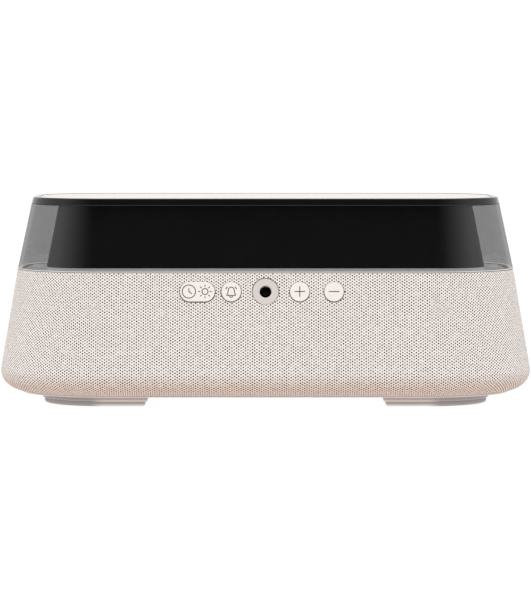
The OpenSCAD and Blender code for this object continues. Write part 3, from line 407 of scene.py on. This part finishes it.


# Foot moulding: its colour follows the height in painted light and shade, from the pad's lower edge, painted
# light, to the plinth, painted darker as shade, with a painted highlight line where the two meet; past the
# straight front the ends are an even, darker grey of painted shade where the surface turns from the light
def footFinish(name, rough, shadeLevels, shadedEndColour):
    look = Finish(name)
    place = look.place()
    across, _, height = look.parts(look.stretched(place, (1 / mm,) * 3))
    rampTop = 6                           # millimetres of foot that the ramp spans
    streaks = look.noise(look.stretched(place, (40, 40, 900)), 1.0) - 0.5
    shadeRamp = look.wire("ShaderNodeValToRGB", 0,
                     {"stops": [(z / rampTop, tone(*colour)) for z, colour in shadeLevels]},
                     {0: height / rampTop + 0.012 * streaks})
    straight, turned = 80.0, 86.0         # millimetres from the middle between which the colour changes to the painted shade of the ends
    end = across.math("ABSOLUTE").ease(straight, turned)
    fine = look.noise(place, 1900.0, 3.0, 0.6)
    slow = look.noise(place, 30.0, 3.0)
    colour = look.blend(end * 0.85, shadeRamp, tone(*shadedEndColour))
    return look.solid({
        "Base Color": look.shaded(colour, 0.93 + 0.08 * slow + 0.06 * fine),
        "Roughness": rough + 0.08 * fine,
        "Normal": look.bump(fine, 0.02 * mm, 0.5),
    })


finishes = {
    "shell_plastic": moulded("shell_plastic", (226, 219, 212), 0.55),
    # the levels are painted light and shade: light lower edges, a painted highlight line on the plinth at
    # 2.5 to 2.85 mm, darker tops as painted shade; the last colour is the painted shade of the ends
    "foot_plastic": footFinish("foot_plastic", 0.5, [
        (2.5, (232, 222, 216)), (2.85, (222, 212, 206)), (3.2, (184, 171, 164)), (5.4, (186, 173, 166)),
    ], (154, 147, 146)),
    "foot_rubber": footFinish("foot_rubber", 0.62, [
        (0.35, (222, 218, 215)), (0.9, (200, 193, 189)), (1.4, (172, 161, 155)), (2.3, (168, 156, 149)),
    ], (150, 144, 143)),
    "screw_steel": metal("screw_steel", (188, 190, 194), 0.32),
    "deck_plastic": moulded("deck_plastic", (236, 234, 230), 0.5),
    # the seal's pale inner colour is painted light
    "seal_rubber": sealFinish("seal_rubber", (40, 38, 37), (226, 226, 226)),
    # lowGlow and highGlow are painted highlights along the band's lower and upper edges
    "smoked_lens": smoked("smoked_lens", 0.50, 0.88, 0.01, 0.14, {
        "low": 66.78, "high": 98.62, "lowGlow": 0.96, "highGlow": 0.05, "share": 0.85}),
    "black_plastic": moulded("black_plastic", (36, 36, 37), 0.45),
    "black_gloss": moulded("black_gloss", (17, 17, 17), 0.08, 3000, 0.002, 0.08,
                           {"Specular IOR Level": 0.38}),
    "top_plastic": moulded("top_plastic", (229, 221, 217), 0.6, 3200, 0.02, 0.015),
    "board": boardFinish(),
    "segment_light": segmentFinish("segment_light", (250, 246, 236), 2.0),
    "window_tint": smoked("window_tint", 0.86, 0.86),
    "bezel_plastic": moulded("bezel_plastic", (214, 205, 199), 0.42),
    "contact_metal": metal("contact_metal", (214, 182, 112), 0.25),
    "key_plastic": moulded("key_plastic", (241, 233, 228), 0.5, 3200, 0.015, 0.015),
    "box_plastic": moulded("box_plastic", (42, 42, 44), 0.6, 1400, 0.05),
    "basket_steel": moulded("basket_steel", (36, 36, 38), 0.38, 900, 0.03, 0.1),
    "ferrite": moulded("ferrite", (54, 54, 58), 0.7, 700, 0.08, 0.12),
    "cone_paper": fibrous("cone_paper", (58, 56, 54), 1.7),
    "spider_cloth": fibrous("spider_cloth", (196, 148, 82), 0.9),
    "heat_aluminium": metal("heat_aluminium", (206, 208, 212), 0.35, (9000, 300, 300)),
    "ribbon": moulded("ribbon", (222, 214, 184), 0.4, 1200, 0.02),
    "lead_sleeve": moulded("lead_sleeve", (168, 40, 34), 0.45, 1500, 0.02),
}


# the hub's outline at its widest line and the heights that everything outside shares, in millimetres
body = {
    "cornerX": 80.4, "cornerY": 12.4, "cornerR": 51.6,   # corner centres and radius
    "wideZ": 16.2, "seamZ": 66.5, "seamInset": 8.7,
    "rollW": 12.0, "rollZ": 10.15,                        # width and height of the rolled lower edge
    "sleeveTop": 66.25,
}
bodyCorners = [(sx * body["cornerX"] * mm, sy * body["cornerY"] * mm, body["cornerR"] * mm)
               for sx, sy in ((1, 1), (-1, 1), (-1, -1), (1, -1))]


# Open knit. Holes stand where three waves of the stitch counts u and v meet, at the peaks of
# cos(u/2 + v) + cos(u/2 - v) + cos(u), all in whole turns. Rows of V-shaped stitches run through them: the
# groove that parts two rows is at the peaks of cos(v - leg/4 - 1/4), where leg goes evenly from -1 to 1 and
# back over two columns. Yarn rises between the holes, with a fine twist along it.
# Its colour is painted light and shade: the holes and the grooves are painted dark as painted shade, and the
# yarn is painted lighter where it rises.
knit = {
    "columnPitch": 1.10,        # millimetres round the hub
    "rowPitch": 1.44,           # millimetres up the wall
    "holeStart": 0.3,           # value of the wave sum where a hole begins
    "holeFull": 1.35,
    # yarnShade is painted shade in the grooves, hole is painted shade in the holes
    "yarn": (255, 248, 243),
    "yarnShade": (222, 206, 197),
    "hole": (22, 18, 16),
    "relief": 0.32,             # millimetres from yarn to hole
    "rollShade": (235, 217, 206),   # painted shade: what the rolled edge's colour is multiplied by, at its lowest
}


def knitFinish():
    look = Finish("knit_fabric")
    place = look.place()
    across, up, _ = look.parts(look.cloth())
    wobble = look.noise(place, 190.0, 2.0)
    acrossHere = across + 0.16 * (wobble - 0.5)
    upHere = up + 0.16 * (look.noise(place, 230.0, 2.0) - 0.5)
    holes = ((acrossHere * 0.5 + upHere).wave() + (acrossHere * 0.5 - upHere).wave()
             + acrossHere.wave())
    gape = 0.5 + 0.7 * look.noise(place, 640.0, 1.0).ease(0.36, 0.6)      # some holes open, some close up
    # painted shade: where the holes are, the colour goes near black
    hole = holes.ease(knit["holeStart"], knit["holeFull"]) * gape
    leg = 1 - 4 * ((acrossHere * 0.5).math("FRACT") - 0.5).math("ABSOLUTE")
    groove = 0.5 + 0.5 * (upHere - 0.25 * leg - 0.25).wave()
    twist = (acrossHere * 2.5 + upHere * 4.0).wave()
    fuzz = look.noise(place, 4200.0, 3.0, 0.7)
    melange = look.noise(place, 420.0, 3.0, 0.6)
    yarnRise = 1 - (holes + 1.5) / 4.5        # the wave sum runs from -1.5 to 3
    height = yarnRise + 0.10 * twist + 0.14 * fuzz - 0.35 * hole - 0.35 * groove
    # painted light and shade: the yarn is lighter where it rises and darker in the grooves
    light = 0.45 + yarnRise * 0.75 - 0.62 * groove + 0.06 * twist + 0.5 * (melange - 0.5)
    yarn = look.blend(light.ease(0.0, 1.0), tone(*knit["yarnShade"]), tone(*knit["yarn"]))
    # painted shade under the hub: the rolled lower edge is darkened towards its lowest
    underShade = 1 - (look.parts(place)[2] / mm).ease(body["rollZ"], body["wideZ"] + 1)
    tinted = look.wire("ShaderNodeMix", 2, {"data_type": "RGBA", "blend_type": "MULTIPLY"},
                       {0: underShade, 6: look.shaded(yarn, 0.97 + 0.06 * fuzz), 7: tone(*knit["rollShade"])})
    return look.solid({
        "Base Color": look.blend(hole, tinted, tone(*knit["hole"])),
        "Roughness": 0.84 + 0.1 * fuzz,
        "Sheen Weight": 0.4,
        "Sheen Roughness": 0.4,
        "Sheen Tint": (1, 0.9, 0.83, 1),
        "Normal": look.bump(height, knit["relief"] * mm, 0.75),
    })


finishes["knit_fabric"] = knitFinish()

for node in nodes.values():
    for place in node.material_slots:
        place.material = finishes[place.material.name.split(".")[0]]


# pale plastic lit by painted light: an even glow by emission that fills in the shade it lies in
def selfLit(name, colour, glow):
    return moulded(name, colour, 0.5, sockets={"Emission Color": (1, 1, 1, 1), "Emission Strength": glow})


# nodes that look unlike the rest of their slot
ownFinishes = {
    # the core spacer, the deck and its screws glow: painted light that lifts their shade
    "core_spacer": selfLit("self_lit_ring", (236, 234, 231), 0.30),
    "mid_deck": selfLit("self_lit_deck", (236, 235, 233), 0.26),
    "deck_screws": selfLit("self_lit_screw", (236, 235, 233), 0.26),
    "base_tray": moulded("tray_plastic", (216, 204, 197), 0.6),
    # the pin is painted dark: painted shade of the deep bore it sits in
    "dc_jack_pin": metal("shaded_jack_pin", (70, 68, 64), 0.4),
}
for name, finish in ownFinishes.items():
    for place in nodes[name].material_slots:
        place.material = finish
print("stage: finishes on the frame's nodes")


# Mesh makers

# puts a finished mesh into the scene as a piece on a body
def addPiece(name, points, faces, finish, bodyName, slotName, smooth=True):
    mesh = bpy.data.meshes.new(name)
    mesh.from_pydata(np.asarray(points, float).reshape(-1, 3).tolist(), [],
                     [list(map(int, face)) for face in faces])
    mesh.validate()
    mesh.polygons.foreach_set("use_smooth", [smooth] * len(mesh.polygons))
    mesh.materials.append(finish)
    piece = bpy.data.objects.new(name, mesh)
    bpy.context.collection.objects.link(piece)
    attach(piece, bodyName)
    return piece


# four-sided faces of a grid whose point (row, column) is number row * columns + column
def gridFaces(rows, columns, wrapRows, wrapColumns=True):
    row, column = np.meshgrid(np.arange(rows if wrapRows else rows - 1),
                              np.arange(columns if wrapColumns else columns - 1), indexing="ij")
    nextRow, nextColumn = (row + 1) % rows, (column + 1) % columns
    return np.stack([row * columns + column, row * columns + nextColumn,
                     nextRow * columns + nextColumn, nextRow * columns + column], -1).reshape(-1, 4)


# the two flat faces that close the first and the last row of such a grid
def endCaps(rows, columns):
    return [list(range(columns))[::-1], list(range((rows - 1) * columns, rows * columns))]


# Stations round a closed outline of four round corners, anticlockwise from the end of +X.
# Each has its corner's centre, the corner's radius and its outward direction, so that a surface point is
# centre + (radius + offset) * direction. spots[side] are the shares along each straight side.
def outline(corners, steps, spots):
    centres, radii, turns = [], [], []
    for number, (x, y, radius) in enumerate(corners):
        turn = np.linspace(number, number + 1, steps + 1) * pi / 2
        centres.append(np.tile([x, y], (steps + 1, 1)))
        radii.append(np.full(steps + 1, radius))
        turns.append(turn)
        nextX, nextY, nextRadius = corners[(number + 1) % 4]
        share = np.asarray(spots[number])
        centres.append(np.stack([x + (nextX - x) * share, y + (nextY - y) * share], -1))
        radii.append(radius + (nextRadius - radius) * share)
        turns.append(np.full(len(share), (number + 1) * pi / 2))
    turns = np.concatenate(turns)
    return np.concatenate(centres), np.concatenate(radii), np.stack([np.cos(turns), np.sin(turns)], -1)


# the closed outline swept by a profile of [offset, height] points
def swept(stations, profile):
    centres, radii, directions = stations
    profile = np.asarray(profile)
    reach = radii[None, :, None] + profile[:, 0][:, None, None]
    flat = centres[None] + reach * directions[None]
    height = np.broadcast_to(profile[:, 1][:, None, None], (*flat.shape[:2], 1))
    return np.concatenate([flat, height], -1)


# A closed [offset, height] polygon with each corner turned into an arc of that corner's radius; two more
# points close to each arc keep the flats' shading flat
def rounded(points, radii, steps=5):
    points = np.asarray(points, float)
    out = []
    for number, radius in enumerate(radii):
        here = points[number]
        back, ahead = points[number - 1] - here, points[(number + 1) % len(points)] - here
        back, ahead = back / hypot(*back), ahead / hypot(*ahead)
        half = np.arccos(np.clip(back @ ahead, -1, 1)) / 2
        run = radius / np.tan(half)
        middle = here + (back + ahead) / hypot(*(back + ahead)) * radius / sin(half)
        first, last = here + back * run - middle, here + ahead * run - middle
        sweep = np.arctan2(first[0] * last[1] - first[1] * last[0], first @ last)
        turn = np.linspace(0, sweep, steps + 1)
        arc = middle + np.stack([first[0] * np.cos(turn) - first[1] * np.sin(turn),
                                 first[0] * np.sin(turn) + first[1] * np.cos(turn)], -1)
        support = radius * 0.35
        out += [here + back * (run + support), *arc, here + ahead * (run + support)]
    return np.array(out)


def evenly(count):                        # inner shares of a straight side, without its ends
    return np.linspace(0, 1, count + 2)[1:-1]


nearEnds = [0.02, 0.5, 0.98]              # support stations that keep a straight side's shading flat


# Knitted sleeve

sleeve = {
    "thickness": 1.2,
    "cornerSteps": 44,
    "fineHalf": 46.0,           # the control field's half width and lowest height, where the mesh is fine
    "fineLow": 49.5,
    "fine": 0.5,                # spacing there
    "coarse": 2.2,              # spacing elsewhere
    "rollSteps": 16,
    "reach": 0.62,              # how near an opening's edge a point is moved onto it, in fine spacings
    "keyGap": 0.3, "rockerGap": 0.32, "bezelGap": 0.3,    # openings beyond the piece in them, millimetres
    "keyDrop": 0.22, "rockerDrop": 0.22, "bezelDrop": -0.22,   # and how much lower they stand
}
controls = {
    "rowZ": 57.3,
    "keyR": 4.75, "bezelR": 6.25,
    "rockerX": -33.0, "rockerR": 4.8, "rockerHalf": 3.65,
    "alarmX": -16.6, "plusX": 16.6, "minusX": 33.2,
    "proud": 0.5,
}
leanRun = body["seamInset"] / (body["seamZ"] - body["wideZ"])   # how far the wall leans back per step up
lean = np.arctan(leanRun)
faceY = -(body["cornerY"] + body["cornerR"] - leanRun * (controls["rowZ"] - body["wideZ"]))


# signed distance, in millimetres, from a point of the control face to the edge of the nearest opening
def openingDistance(x, up):
    past = np.maximum(np.abs(x - controls["rockerX"]) - controls["rockerHalf"], 0)
    rocker = np.hypot(past, up + sleeve["rockerDrop"])
    distance = rocker - controls["rockerR"] - sleeve["rockerGap"]
    rounds = [(controls[key], controls["keyR"] + sleeve["keyGap"], sleeve["keyDrop"])
              for key in ("alarmX", "plusX", "minusX")]
    rounds += [(0.0, controls["bezelR"] + sleeve["bezelGap"], sleeve["bezelDrop"])]
    for middle, radius, drop in rounds:
        distance = np.minimum(distance, np.hypot(x - middle, up + drop) - radius)
    return distance


# The sleeve is the outline swept by a quarter ellipse for the rolled lower edge,
# (-w + w sin a, wide - h cos a), and a straight leaning wall above it. Points near an opening move onto its
# edge, down the slope of the distance, and the faces inside are left out.
def makeSleeve():
    turn = np.linspace(0, pi / 2, sleeve["rollSteps"] + 1)
    roll = np.stack([-body["rollW"] + body["rollW"] * np.sin(turn),
                     body["wideZ"] - body["rollZ"] * np.cos(turn)], -1)
    low, high, top = body["wideZ"], sleeve["fineLow"], body["sleeveTop"]
    wallZ = np.concatenate([np.arange(low + sleeve["coarse"] * 0.5, high, sleeve["coarse"] * 0.75),
                            np.arange(high, top - 0.2, sleeve["fine"]), [top]])
    profile = np.concatenate([roll, np.stack([-leanRun * (wallZ - low), wallZ], -1)]) * mm
    sideX = 2 * body["cornerX"]
    coarseEnd = np.arange(sleeve["coarse"], body["cornerX"] - sleeve["fineHalf"], sleeve["coarse"]) / sideX
    fineX = np.arange(-sleeve["fineHalf"], sleeve["fineHalf"] + 0.01, sleeve["fine"])   # both ends included
    fine = (body["cornerX"] + fineX) / sideX
    front = np.concatenate([coarseEnd, fine, 1 - coarseEnd[::-1]])
    plain = evenly(int(sideX / sleeve["coarse"]))
    end = evenly(int(2 * body["cornerY"] / sleeve["coarse"]))
    stations = outline(bodyCorners, sleeve["cornerSteps"], [plain, end, front, end])
    points = swept(stations, profile)
    rows, columns = points.shape[:2]

    # stitch counts: the way round and the way up, in stitches, with a whole even number of columns
    ring = centreline(stations)
    girth = np.concatenate([[0], np.cumsum(np.hypot(*(np.roll(ring, -1, 0) - ring).T))])
    count = 2 * round(girth[-1] / (2 * knit["columnPitch"] * mm))
    across = girth / girth[-1] * count
    rise = np.concatenate([[0], np.cumsum(np.hypot(*np.diff(profile, axis=0).T))]) / (knit["rowPitch"] * mm)

    face = points[:, :, 1] < 0
    x, z = points[:, :, 0] / mm, points[:, :, 2] / mm
    up = (z - controls["rowZ"]) / np.cos(lean)
    near = face & (z > low + 1) & (np.abs(x) < sleeve["fineHalf"])
    farAway = 99.0
    distance = np.where(near, openingDistance(x, up), farAway)
    step = 0.01
    slopeX = (openingDistance(x + step, up) - distance) / step
    slopeUp = (openingDistance(x, up + step) - distance) / step
    pull = np.where(np.abs(distance) < sleeve["fine"] * sleeve["reach"], distance, 0.0)
    x = x - pull * slopeX
    up = up - pull * slopeUp
    moved = pull != 0
    points[moved, 0] = x[moved] * mm
    points[moved, 1] = (faceY + up[moved] * np.sin(lean)) * mm
    points[moved, 2] = (controls["rowZ"] + up[moved] * np.cos(lean)) * mm
    distance = np.where(moved, 0.0, distance)

    faces = gridFaces(rows, columns, False)
    onEdge = 1e-6                             # distances below this count as on the edge
    corner = distance.reshape(-1)[faces]
    kept = faces[corner.max(1) > onEdge]
    cornerKept = distance.reshape(-1)[kept]
    whole = kept[cornerKept.min(1) > -onEdge]
    cut = kept[cornerKept.min(1) <= -onEdge]
    inside = distance.reshape(-1)[cut] < -onEdge
    triangles = cut[~inside].reshape(-1, 3) if (inside.sum(1) == 1).all() else np.zeros((0, 3), int)

    used = np.unique(np.concatenate([whole.reshape(-1), triangles.reshape(-1)]))
    renumber = np.full(rows * columns, -1)
    renumber[used] = np.arange(len(used))
    faceList = [*renumber[whole].tolist(), *renumber[triangles].tolist()]
    piece = addPiece("knit_sleeve", points.reshape(-1, 3)[used], faceList, finishes["knit_fabric"],
                     "housing", "knit_fabric")

    layer = piece.data.uv_layers.new(name="stitches")
    corners = np.empty(len(piece.data.loops), int)
    piece.data.loops.foreach_get("vertex_index", corners)
    column, row = used[corners] % columns, used[corners] // columns
    start = np.empty(len(piece.data.polygons), int)
    piece.data.polygons.foreach_get("loop_start", start)
    owner = np.repeat(np.arange(len(start)), np.diff([*start, len(corners)]))
    widest = np.maximum.reduceat(column, start)[owner]
    wraps = (widest == columns - 1) & (column == 0)
    uv = np.stack([np.where(wraps, across[columns], across[column]), rise[row]], -1)
    layer.data.foreach_set("uv", uv.reshape(-1))

    wall = piece.modifiers.new("thickness", "SOLIDIFY")
    wall.thickness = sleeve["thickness"] * mm
    wall.offset = -1
    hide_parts("fabric_sleeve")


def centreline(stations):                 # the outline itself, at no offset
    centres, radii, directions = stations
    return centres + radii[:, None] * directions


makeSleeve()
print("stage: sleeve made")


# Smoked band

band = {
    "low": 66.5, "high": 98.9,
    "slope": 0.2163,            # how far it leans in for each step up
    "wall": 2.0,
    "edge": 0.3,
    "cornerSteps": 56,
}


# offset of the band's wall, a depth inside its outer face
def bandOffset(z, depth):
    return -body["seamInset"] - band["slope"] * (z - body["seamZ"]) - depth


# the outline swept by the band's four-cornered section, with small round edges
def makeBand():
    section = [(bandOffset(band["low"], 0), band["low"]), (bandOffset(band["high"], 0), band["high"]),
               (bandOffset(band["high"], band["wall"]), band["high"]),
               (bandOffset(band["low"], band["wall"]), band["low"])]
    profile = rounded(section, [band["edge"]] * 4) * mm
    points = swept(outline(bodyCorners, band["cornerSteps"], [nearEnds] * 4), profile)
    rows, columns = points.shape[:2]
    piece = addPiece("lens_band", points, gridFaces(rows, columns, True), finishes["smoked_lens"],
                     "housing", "smoked_lens")
    depth = (bandOffset(profile[:, 1] / mm, 0) - profile[:, 0] / mm) / band["wall"]   # 0 outside, 1 inside
    layer = piece.data.attributes.new("depth", "FLOAT", "POINT")
    layer.data.foreach_set("value", np.repeat(depth, columns))
    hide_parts("smoked_lens")


makeBand()
print("stage: band made")


# Feet

feet = {
    "inset": 20.6,              # from the body's widest outline to the foot's
    "inner": 58.0, "innerR": 2.5,         # the foot's straight inner side and its corners' radius
    "step": 1.2,                # how far the pad stands back from the foot's outline
    "high": 2.48,
    "lowEdge": 0.9, "highEdge": 0.35,     # radii of the pad's round edges
    "cornerSteps": 28,
    "sharp": 40,                # degrees of turn over which an edge is shaded sharp
}


# A D-shaped pad: its outline swept up a side with round edges, and flat caps. The side's [offset, height] is
# (-step - edge + edge sin a, edge - edge cos a) below and
# (-step - edge + edge cos a, high - edge + edge sin a) above. The mirrored pad has x changed in sign.
def makeFootPad(name, node, isMirrored):
    outerX, outerR = body["cornerX"], body["cornerR"] - feet["inset"]
    half = body["cornerY"] + outerR
    small = feet["innerR"]
    innerX = feet["inner"] + small
    corners = [(outerX, body["cornerY"], outerR), (innerX, half - small, small),
               (innerX, small - half, small), (outerX, -body["cornerY"], outerR)]
    stations = outline([(x * mm, y * mm, r * mm) for x, y, r in corners],
                       feet["cornerSteps"], [nearEnds] * 4)
    step, high, low, top = feet["step"], feet["high"], feet["lowEdge"], feet["highEdge"]
    rise = np.linspace(0, pi / 2, 6)
    profile = np.concatenate([
        np.stack([-step - low + low * np.sin(rise), low - low * np.cos(rise)], -1),
        np.stack([-step - top + top * np.cos(rise), high - top + top * np.sin(rise)], -1),
    ]) * mm
    points = swept(stations, profile)
    rows, columns = points.shape[:2]
    faces = gridFaces(rows, columns, False).tolist() + endCaps(rows, columns)
    flat = points.reshape(-1, 3)
    if isMirrored:
        flat = flat * (-1, 1, 1)
        faces = [face[::-1] for face in faces]
    piece = addPiece(name, flat, faces, finishes["foot_rubber"], "housing", "foot_rubber")
    piece.data.set_sharp_from_angle(angle=radians(feet["sharp"]))
    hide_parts(node)


for sideName in ("left", "right"):
    node = f"{sideName}_foot_pad"
    makeFootPad(f"{sideName}_foot_lip", node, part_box(node)[0][0] < 0)
print("stage: feet made")


# Key signs

signs = {
    "line": 0.42,               # width of a printed line, millimetres
    "ink": 0.03,                # how far the ink stands on the cap
    "overrun": 0.6,             # how far a line runs past its ends, in half widths
    "clockX": -37.1, "sunX": -29.3,       # the signs' middles
    "clockR": 3.2,
    "sunR": 1.45, "rayFrom": 2.45, "rayTo": 3.2,
    "rays": 8,
    "bellDrop": 0.25,           # how much lower the bell stands than the row of keys
    "markHalf": 2.45,           # half the length of the lines of the plus and the minus
}


# One printed line along a flat path: the path is carried sideways by half the width and up by the ink.
# The points are (x, up) on the key face, in millimetres.
def inkLine(path, closed=False):
    path = np.asarray(path, float)
    half = signs["line"] / 2
    ahead = np.roll(path, -1, 0) - path if closed else np.gradient(path, axis=0)
    if closed:
        ahead = ahead + path - np.roll(path, 1, 0)
    ahead = ahead / np.hypot(*ahead.T)[:, None]
    if not closed:
        path = path.copy()
        path[0] -= ahead[0] * half * signs["overrun"]
        path[-1] += ahead[-1] * half * signs["overrun"]
    across = np.stack([-ahead[:, 1], ahead[:, 0]], -1)
    ring = [(1, 0), (1, 1), (-1, 1), (-1, 0)]                    # (side, up) of the line's section
    flat = np.stack([path + side * half * across for side, _ in ring])
    height = np.stack([np.full(len(path), lift * signs["ink"]) for _, lift in ring])
    points = np.concatenate([flat, height[..., None]], -1)        # (section, along, 3)
    rows, columns = points.shape[:2]
    faces = gridFaces(rows, columns, True, closed).tolist()
    if not closed:
        faces += [[row * columns for row in range(rows)],
                  [row * columns + columns - 1 for row in range(rows)][::-1]]
    return points.reshape(-1, 3), faces


def circlePath(x, radius, count=48):
    turn = np.linspace(0, 2 * pi, count, endpoint=False)
    return np.stack([x + radius * np.cos(turn), radius * np.sin(turn)], -1)


# a point (x, up, out) of the leaning control face, in millimetres, as a place in the frame
def onFace(points):
    x, up, out = points[..., 0], points[..., 1], points[..., 2]
    return np.stack([x, faceY + up * sin(lean) - out * cos(lean),
                     controls["rowZ"] + up * cos(lean) + out * sin(lean)], -1) * mm


# the points and faces of several small meshes as those of one
def joined(parts):
    points, faces, count = [], [], 0
    for partPoints, partFaces in parts:
        points.append(partPoints)
        faces += [[index + count for index in face] for face in partFaces]
        count += len(partPoints)
    return np.concatenate(points), faces


inkFinish = moulded("printed_ink", (70, 58, 52), 0.6, 5200, 0.004, 0.12)


# the lines of one sign, joined into one mesh and set on the face of the key caps
def makeSign(name, lines, bodyName):
    flat, faces = joined(lines)
    addPiece(name, onFace(flat + (0, 0, controls["proud"])), faces, inkFinish, bodyName, "black_plastic",
             smooth=False)


# a bell's outline: a half ellipse, and sides that widen with the square of the way down
def bellPath():
    top = np.linspace(pi, 0, 15)
    dome = np.stack([1.45 * np.cos(top), 0.9 + 1.5 * np.sin(top)], -1)
    down = np.linspace(0, 1, 7)[1:]
    right = np.stack([1.45 + 0.85 * down ** 2, 0.9 - 2.5 * down], -1)
    return np.concatenate([dome, right, right[::-1] * (-1, 1)])


def makeSigns():
    clockX, sunX = signs["clockX"], signs["sunX"]
    dial = [inkLine(circlePath(clockX, signs["clockR"]), True),
            inkLine([(clockX, 1.5), (clockX, 0.0)]), inkLine([(clockX, 0.0), (clockX + 1.3, -1.1)])]
    rayEnds = (signs["rayFrom"], signs["rayTo"])
    rays = [inkLine([(sunX + reach * cos(turn), reach * sin(turn)) for reach in rayEnds])
            for turn in np.arange(signs["rays"]) * 2 * pi / signs["rays"]]
    sun = [inkLine(circlePath(sunX, signs["sunR"]), True), *rays]
    makeSign("clock_sun_signs", dial + sun, "rocker_key_body")
    bellX = controls["alarmX"]
    clapper = np.linspace(radians(200), radians(340), 9)
    bell = [bellPath(), np.stack([0.8 * np.cos(clapper), -1.75 + 0.8 * np.sin(clapper)], -1),
            np.array([(-2.6, 1.5), (-2.0, 2.5)]), np.array([(2.6, 1.5), (2.0, 2.5)])]
    bell = [inkLine(path + (bellX, -signs["bellDrop"]), number == 0) for number, path in enumerate(bell)]
    makeSign("bell_sign", bell, "alarm_key_body")
    half, plusX, minusX = signs["markHalf"], controls["plusX"], controls["minusX"]
    makeSign("plus_sign", [inkLine([(plusX - half, 0), (plusX + half, 0)]),
                           inkLine([(plusX, -half), (plusX, half)])], "plus_key_body")
    makeSign("minus_sign", [inkLine([(minusX - half, 0), (minusX + half, 0)])], "minus_key_body")


makeSigns()
print("stage: signs made")


# Power inlet ring

inletRing = {
    "boreR": 2.9, "neckR": 4.85,
    "proud": 0.3, "shoulder": -1.16, "end": -5.4,     # heights over the control face
    "boreEdge": 0.6, "outerEdge": 0.3, "edge": 0.15,
    "steps": 96,
}


# the ring's rounded section turned about the inlet's axis: (r cos a, r sin a, out)
def makeInletRing():
    ring = inletRing
    rimR, boreR, neckR = controls["bezelR"], ring["boreR"], ring["neckR"]
    section = [(rimR, ring["shoulder"]), (rimR, ring["proud"]), (boreR, ring["proud"]),
               (boreR, ring["end"]), (neckR, ring["end"]), (neckR, ring["shoulder"])]
    radii = [ring["edge"], ring["outerEdge"], ring["boreEdge"], ring["edge"], ring["edge"], ring["edge"]]
    turn = np.linspace(0, 2 * pi, ring["steps"], endpoint=False)
    stations = (np.zeros((len(turn), 2)), np.zeros(len(turn)), np.stack([np.cos(turn), np.sin(turn)], -1))
    points = swept(stations, rounded(section, radii))
    rows, columns = points.shape[:2]
    piece = addPiece("inlet_ring", onFace(points), gridFaces(rows, columns, True),
                     finishes["bezel_plastic"], "housing", "bezel_plastic")
    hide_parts("jack_bezel")


makeInletRing()
print("stage: inlet ring made")


# Clock digits, on the far side

clock = {
    "shows": "10:08",
    "places": (24.9, 9.9, -9.9, -24.9),   # digit middles from the reader's left, who looks along -Y
    "halfWide": 4.0, "halfHigh": 7.5,     # from a digit's middle to the middle lines of its outer bars
    "bar": 1.8,                           # width of a bar
    "gap": 0.3,                           # between two bars' tips
    "bevel": 0.2,
    "dotR": 1.15, "dotUp": 3.75,
}
barPlaces = {"a": (0, 1), "b": (1, 0.5), "c": (1, -0.5), "d": (0, -1),     # (side, level) of each bar
             "e": (-1, -0.5), "f": (-1, 0.5), "g": (0, 0)}
numerals = {"0": "abcdef", "1": "bc", "2": "abdeg", "3": "abcdg", "4": "bcfg",
            "5": "acdfg", "6": "acdefg", "7": "abc", "8": "abcdefg", "9": "abcdfg"}


# One raised shape of the display: its ring, given as a function of the inset, stands at the back, at the
# bevel's foot and, one bevel inside itself, at the front. The ring runs anticlockwise as the reader sees it.
def raised(ring, right, up):
    back, front = (corner[1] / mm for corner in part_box("digit_segments"))
    middleZ = sum(corner[2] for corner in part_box("digit_segments")) / 2 / mm
    rings = []
    for inset, y in ((0.0, back), (0.0, front - clock["bevel"]), (clock["bevel"], front)):
        rightward, upward = ring(inset)
        rings.append(np.stack([-(right + rightward), np.full(len(upward), y), middleZ + up + upward], -1))
    points = np.stack(rings)
    rows, columns = points.shape[:2]
    return points.reshape(-1, 3) * mm, gridFaces(rows, columns, False).tolist() + endCaps(rows, columns)


# A bar is a hexagon with square tips. With the inset its half width shrinks by the inset and each tip moves
# in by root 2 times the inset.
def barRing(length, upright):
    def ring(inset):
        half = clock["bar"] / 2 - inset
        reach = length / 2 - inset * 2 ** 0.5
        along = np.array([reach, reach - half, half - reach, -reach, half - reach, reach - half])
        across = np.array([0, half, half, 0, -half, -half])
        return (-across, along) if upright else (along, across)
    return ring


def dotRing(inset):
    turn = np.linspace(0, 2 * pi, 24, endpoint=False)
    return (clock["dotR"] - inset) * np.cos(turn), (clock["dotR"] - inset) * np.sin(turn)


def makeDigits():
    lit = [raised(dotRing, 0.0, side * clock["dotUp"]) for side in (-1, 1)]
    dark = []
    for numeral, x in zip(clock["shows"].replace(":", ""), clock["places"]):
        for letter, (side, level) in barPlaces.items():
            length = (clock["halfHigh"] if side else 2 * clock["halfWide"]) - 2 * clock["gap"]
            shape = raised(barRing(length, side != 0),
                           side * clock["halfWide"] - x, level * clock["halfHigh"])
            (lit if letter in numerals[numeral] else dark).append(shape)
    unlitFinish = moulded("unlit_bars", (70, 68, 66), 0.4)
    for name, shapes, finish in (("lit_digits", lit, finishes["segment_light"]),
                                 ("unlit_digits", dark, unlitFinish)):
        piece = addPiece(name, *joined(shapes), finish, "housing", "segment_light", smooth=False)
        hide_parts("digit_segments")


makeDigits()
print("stage: digits made")
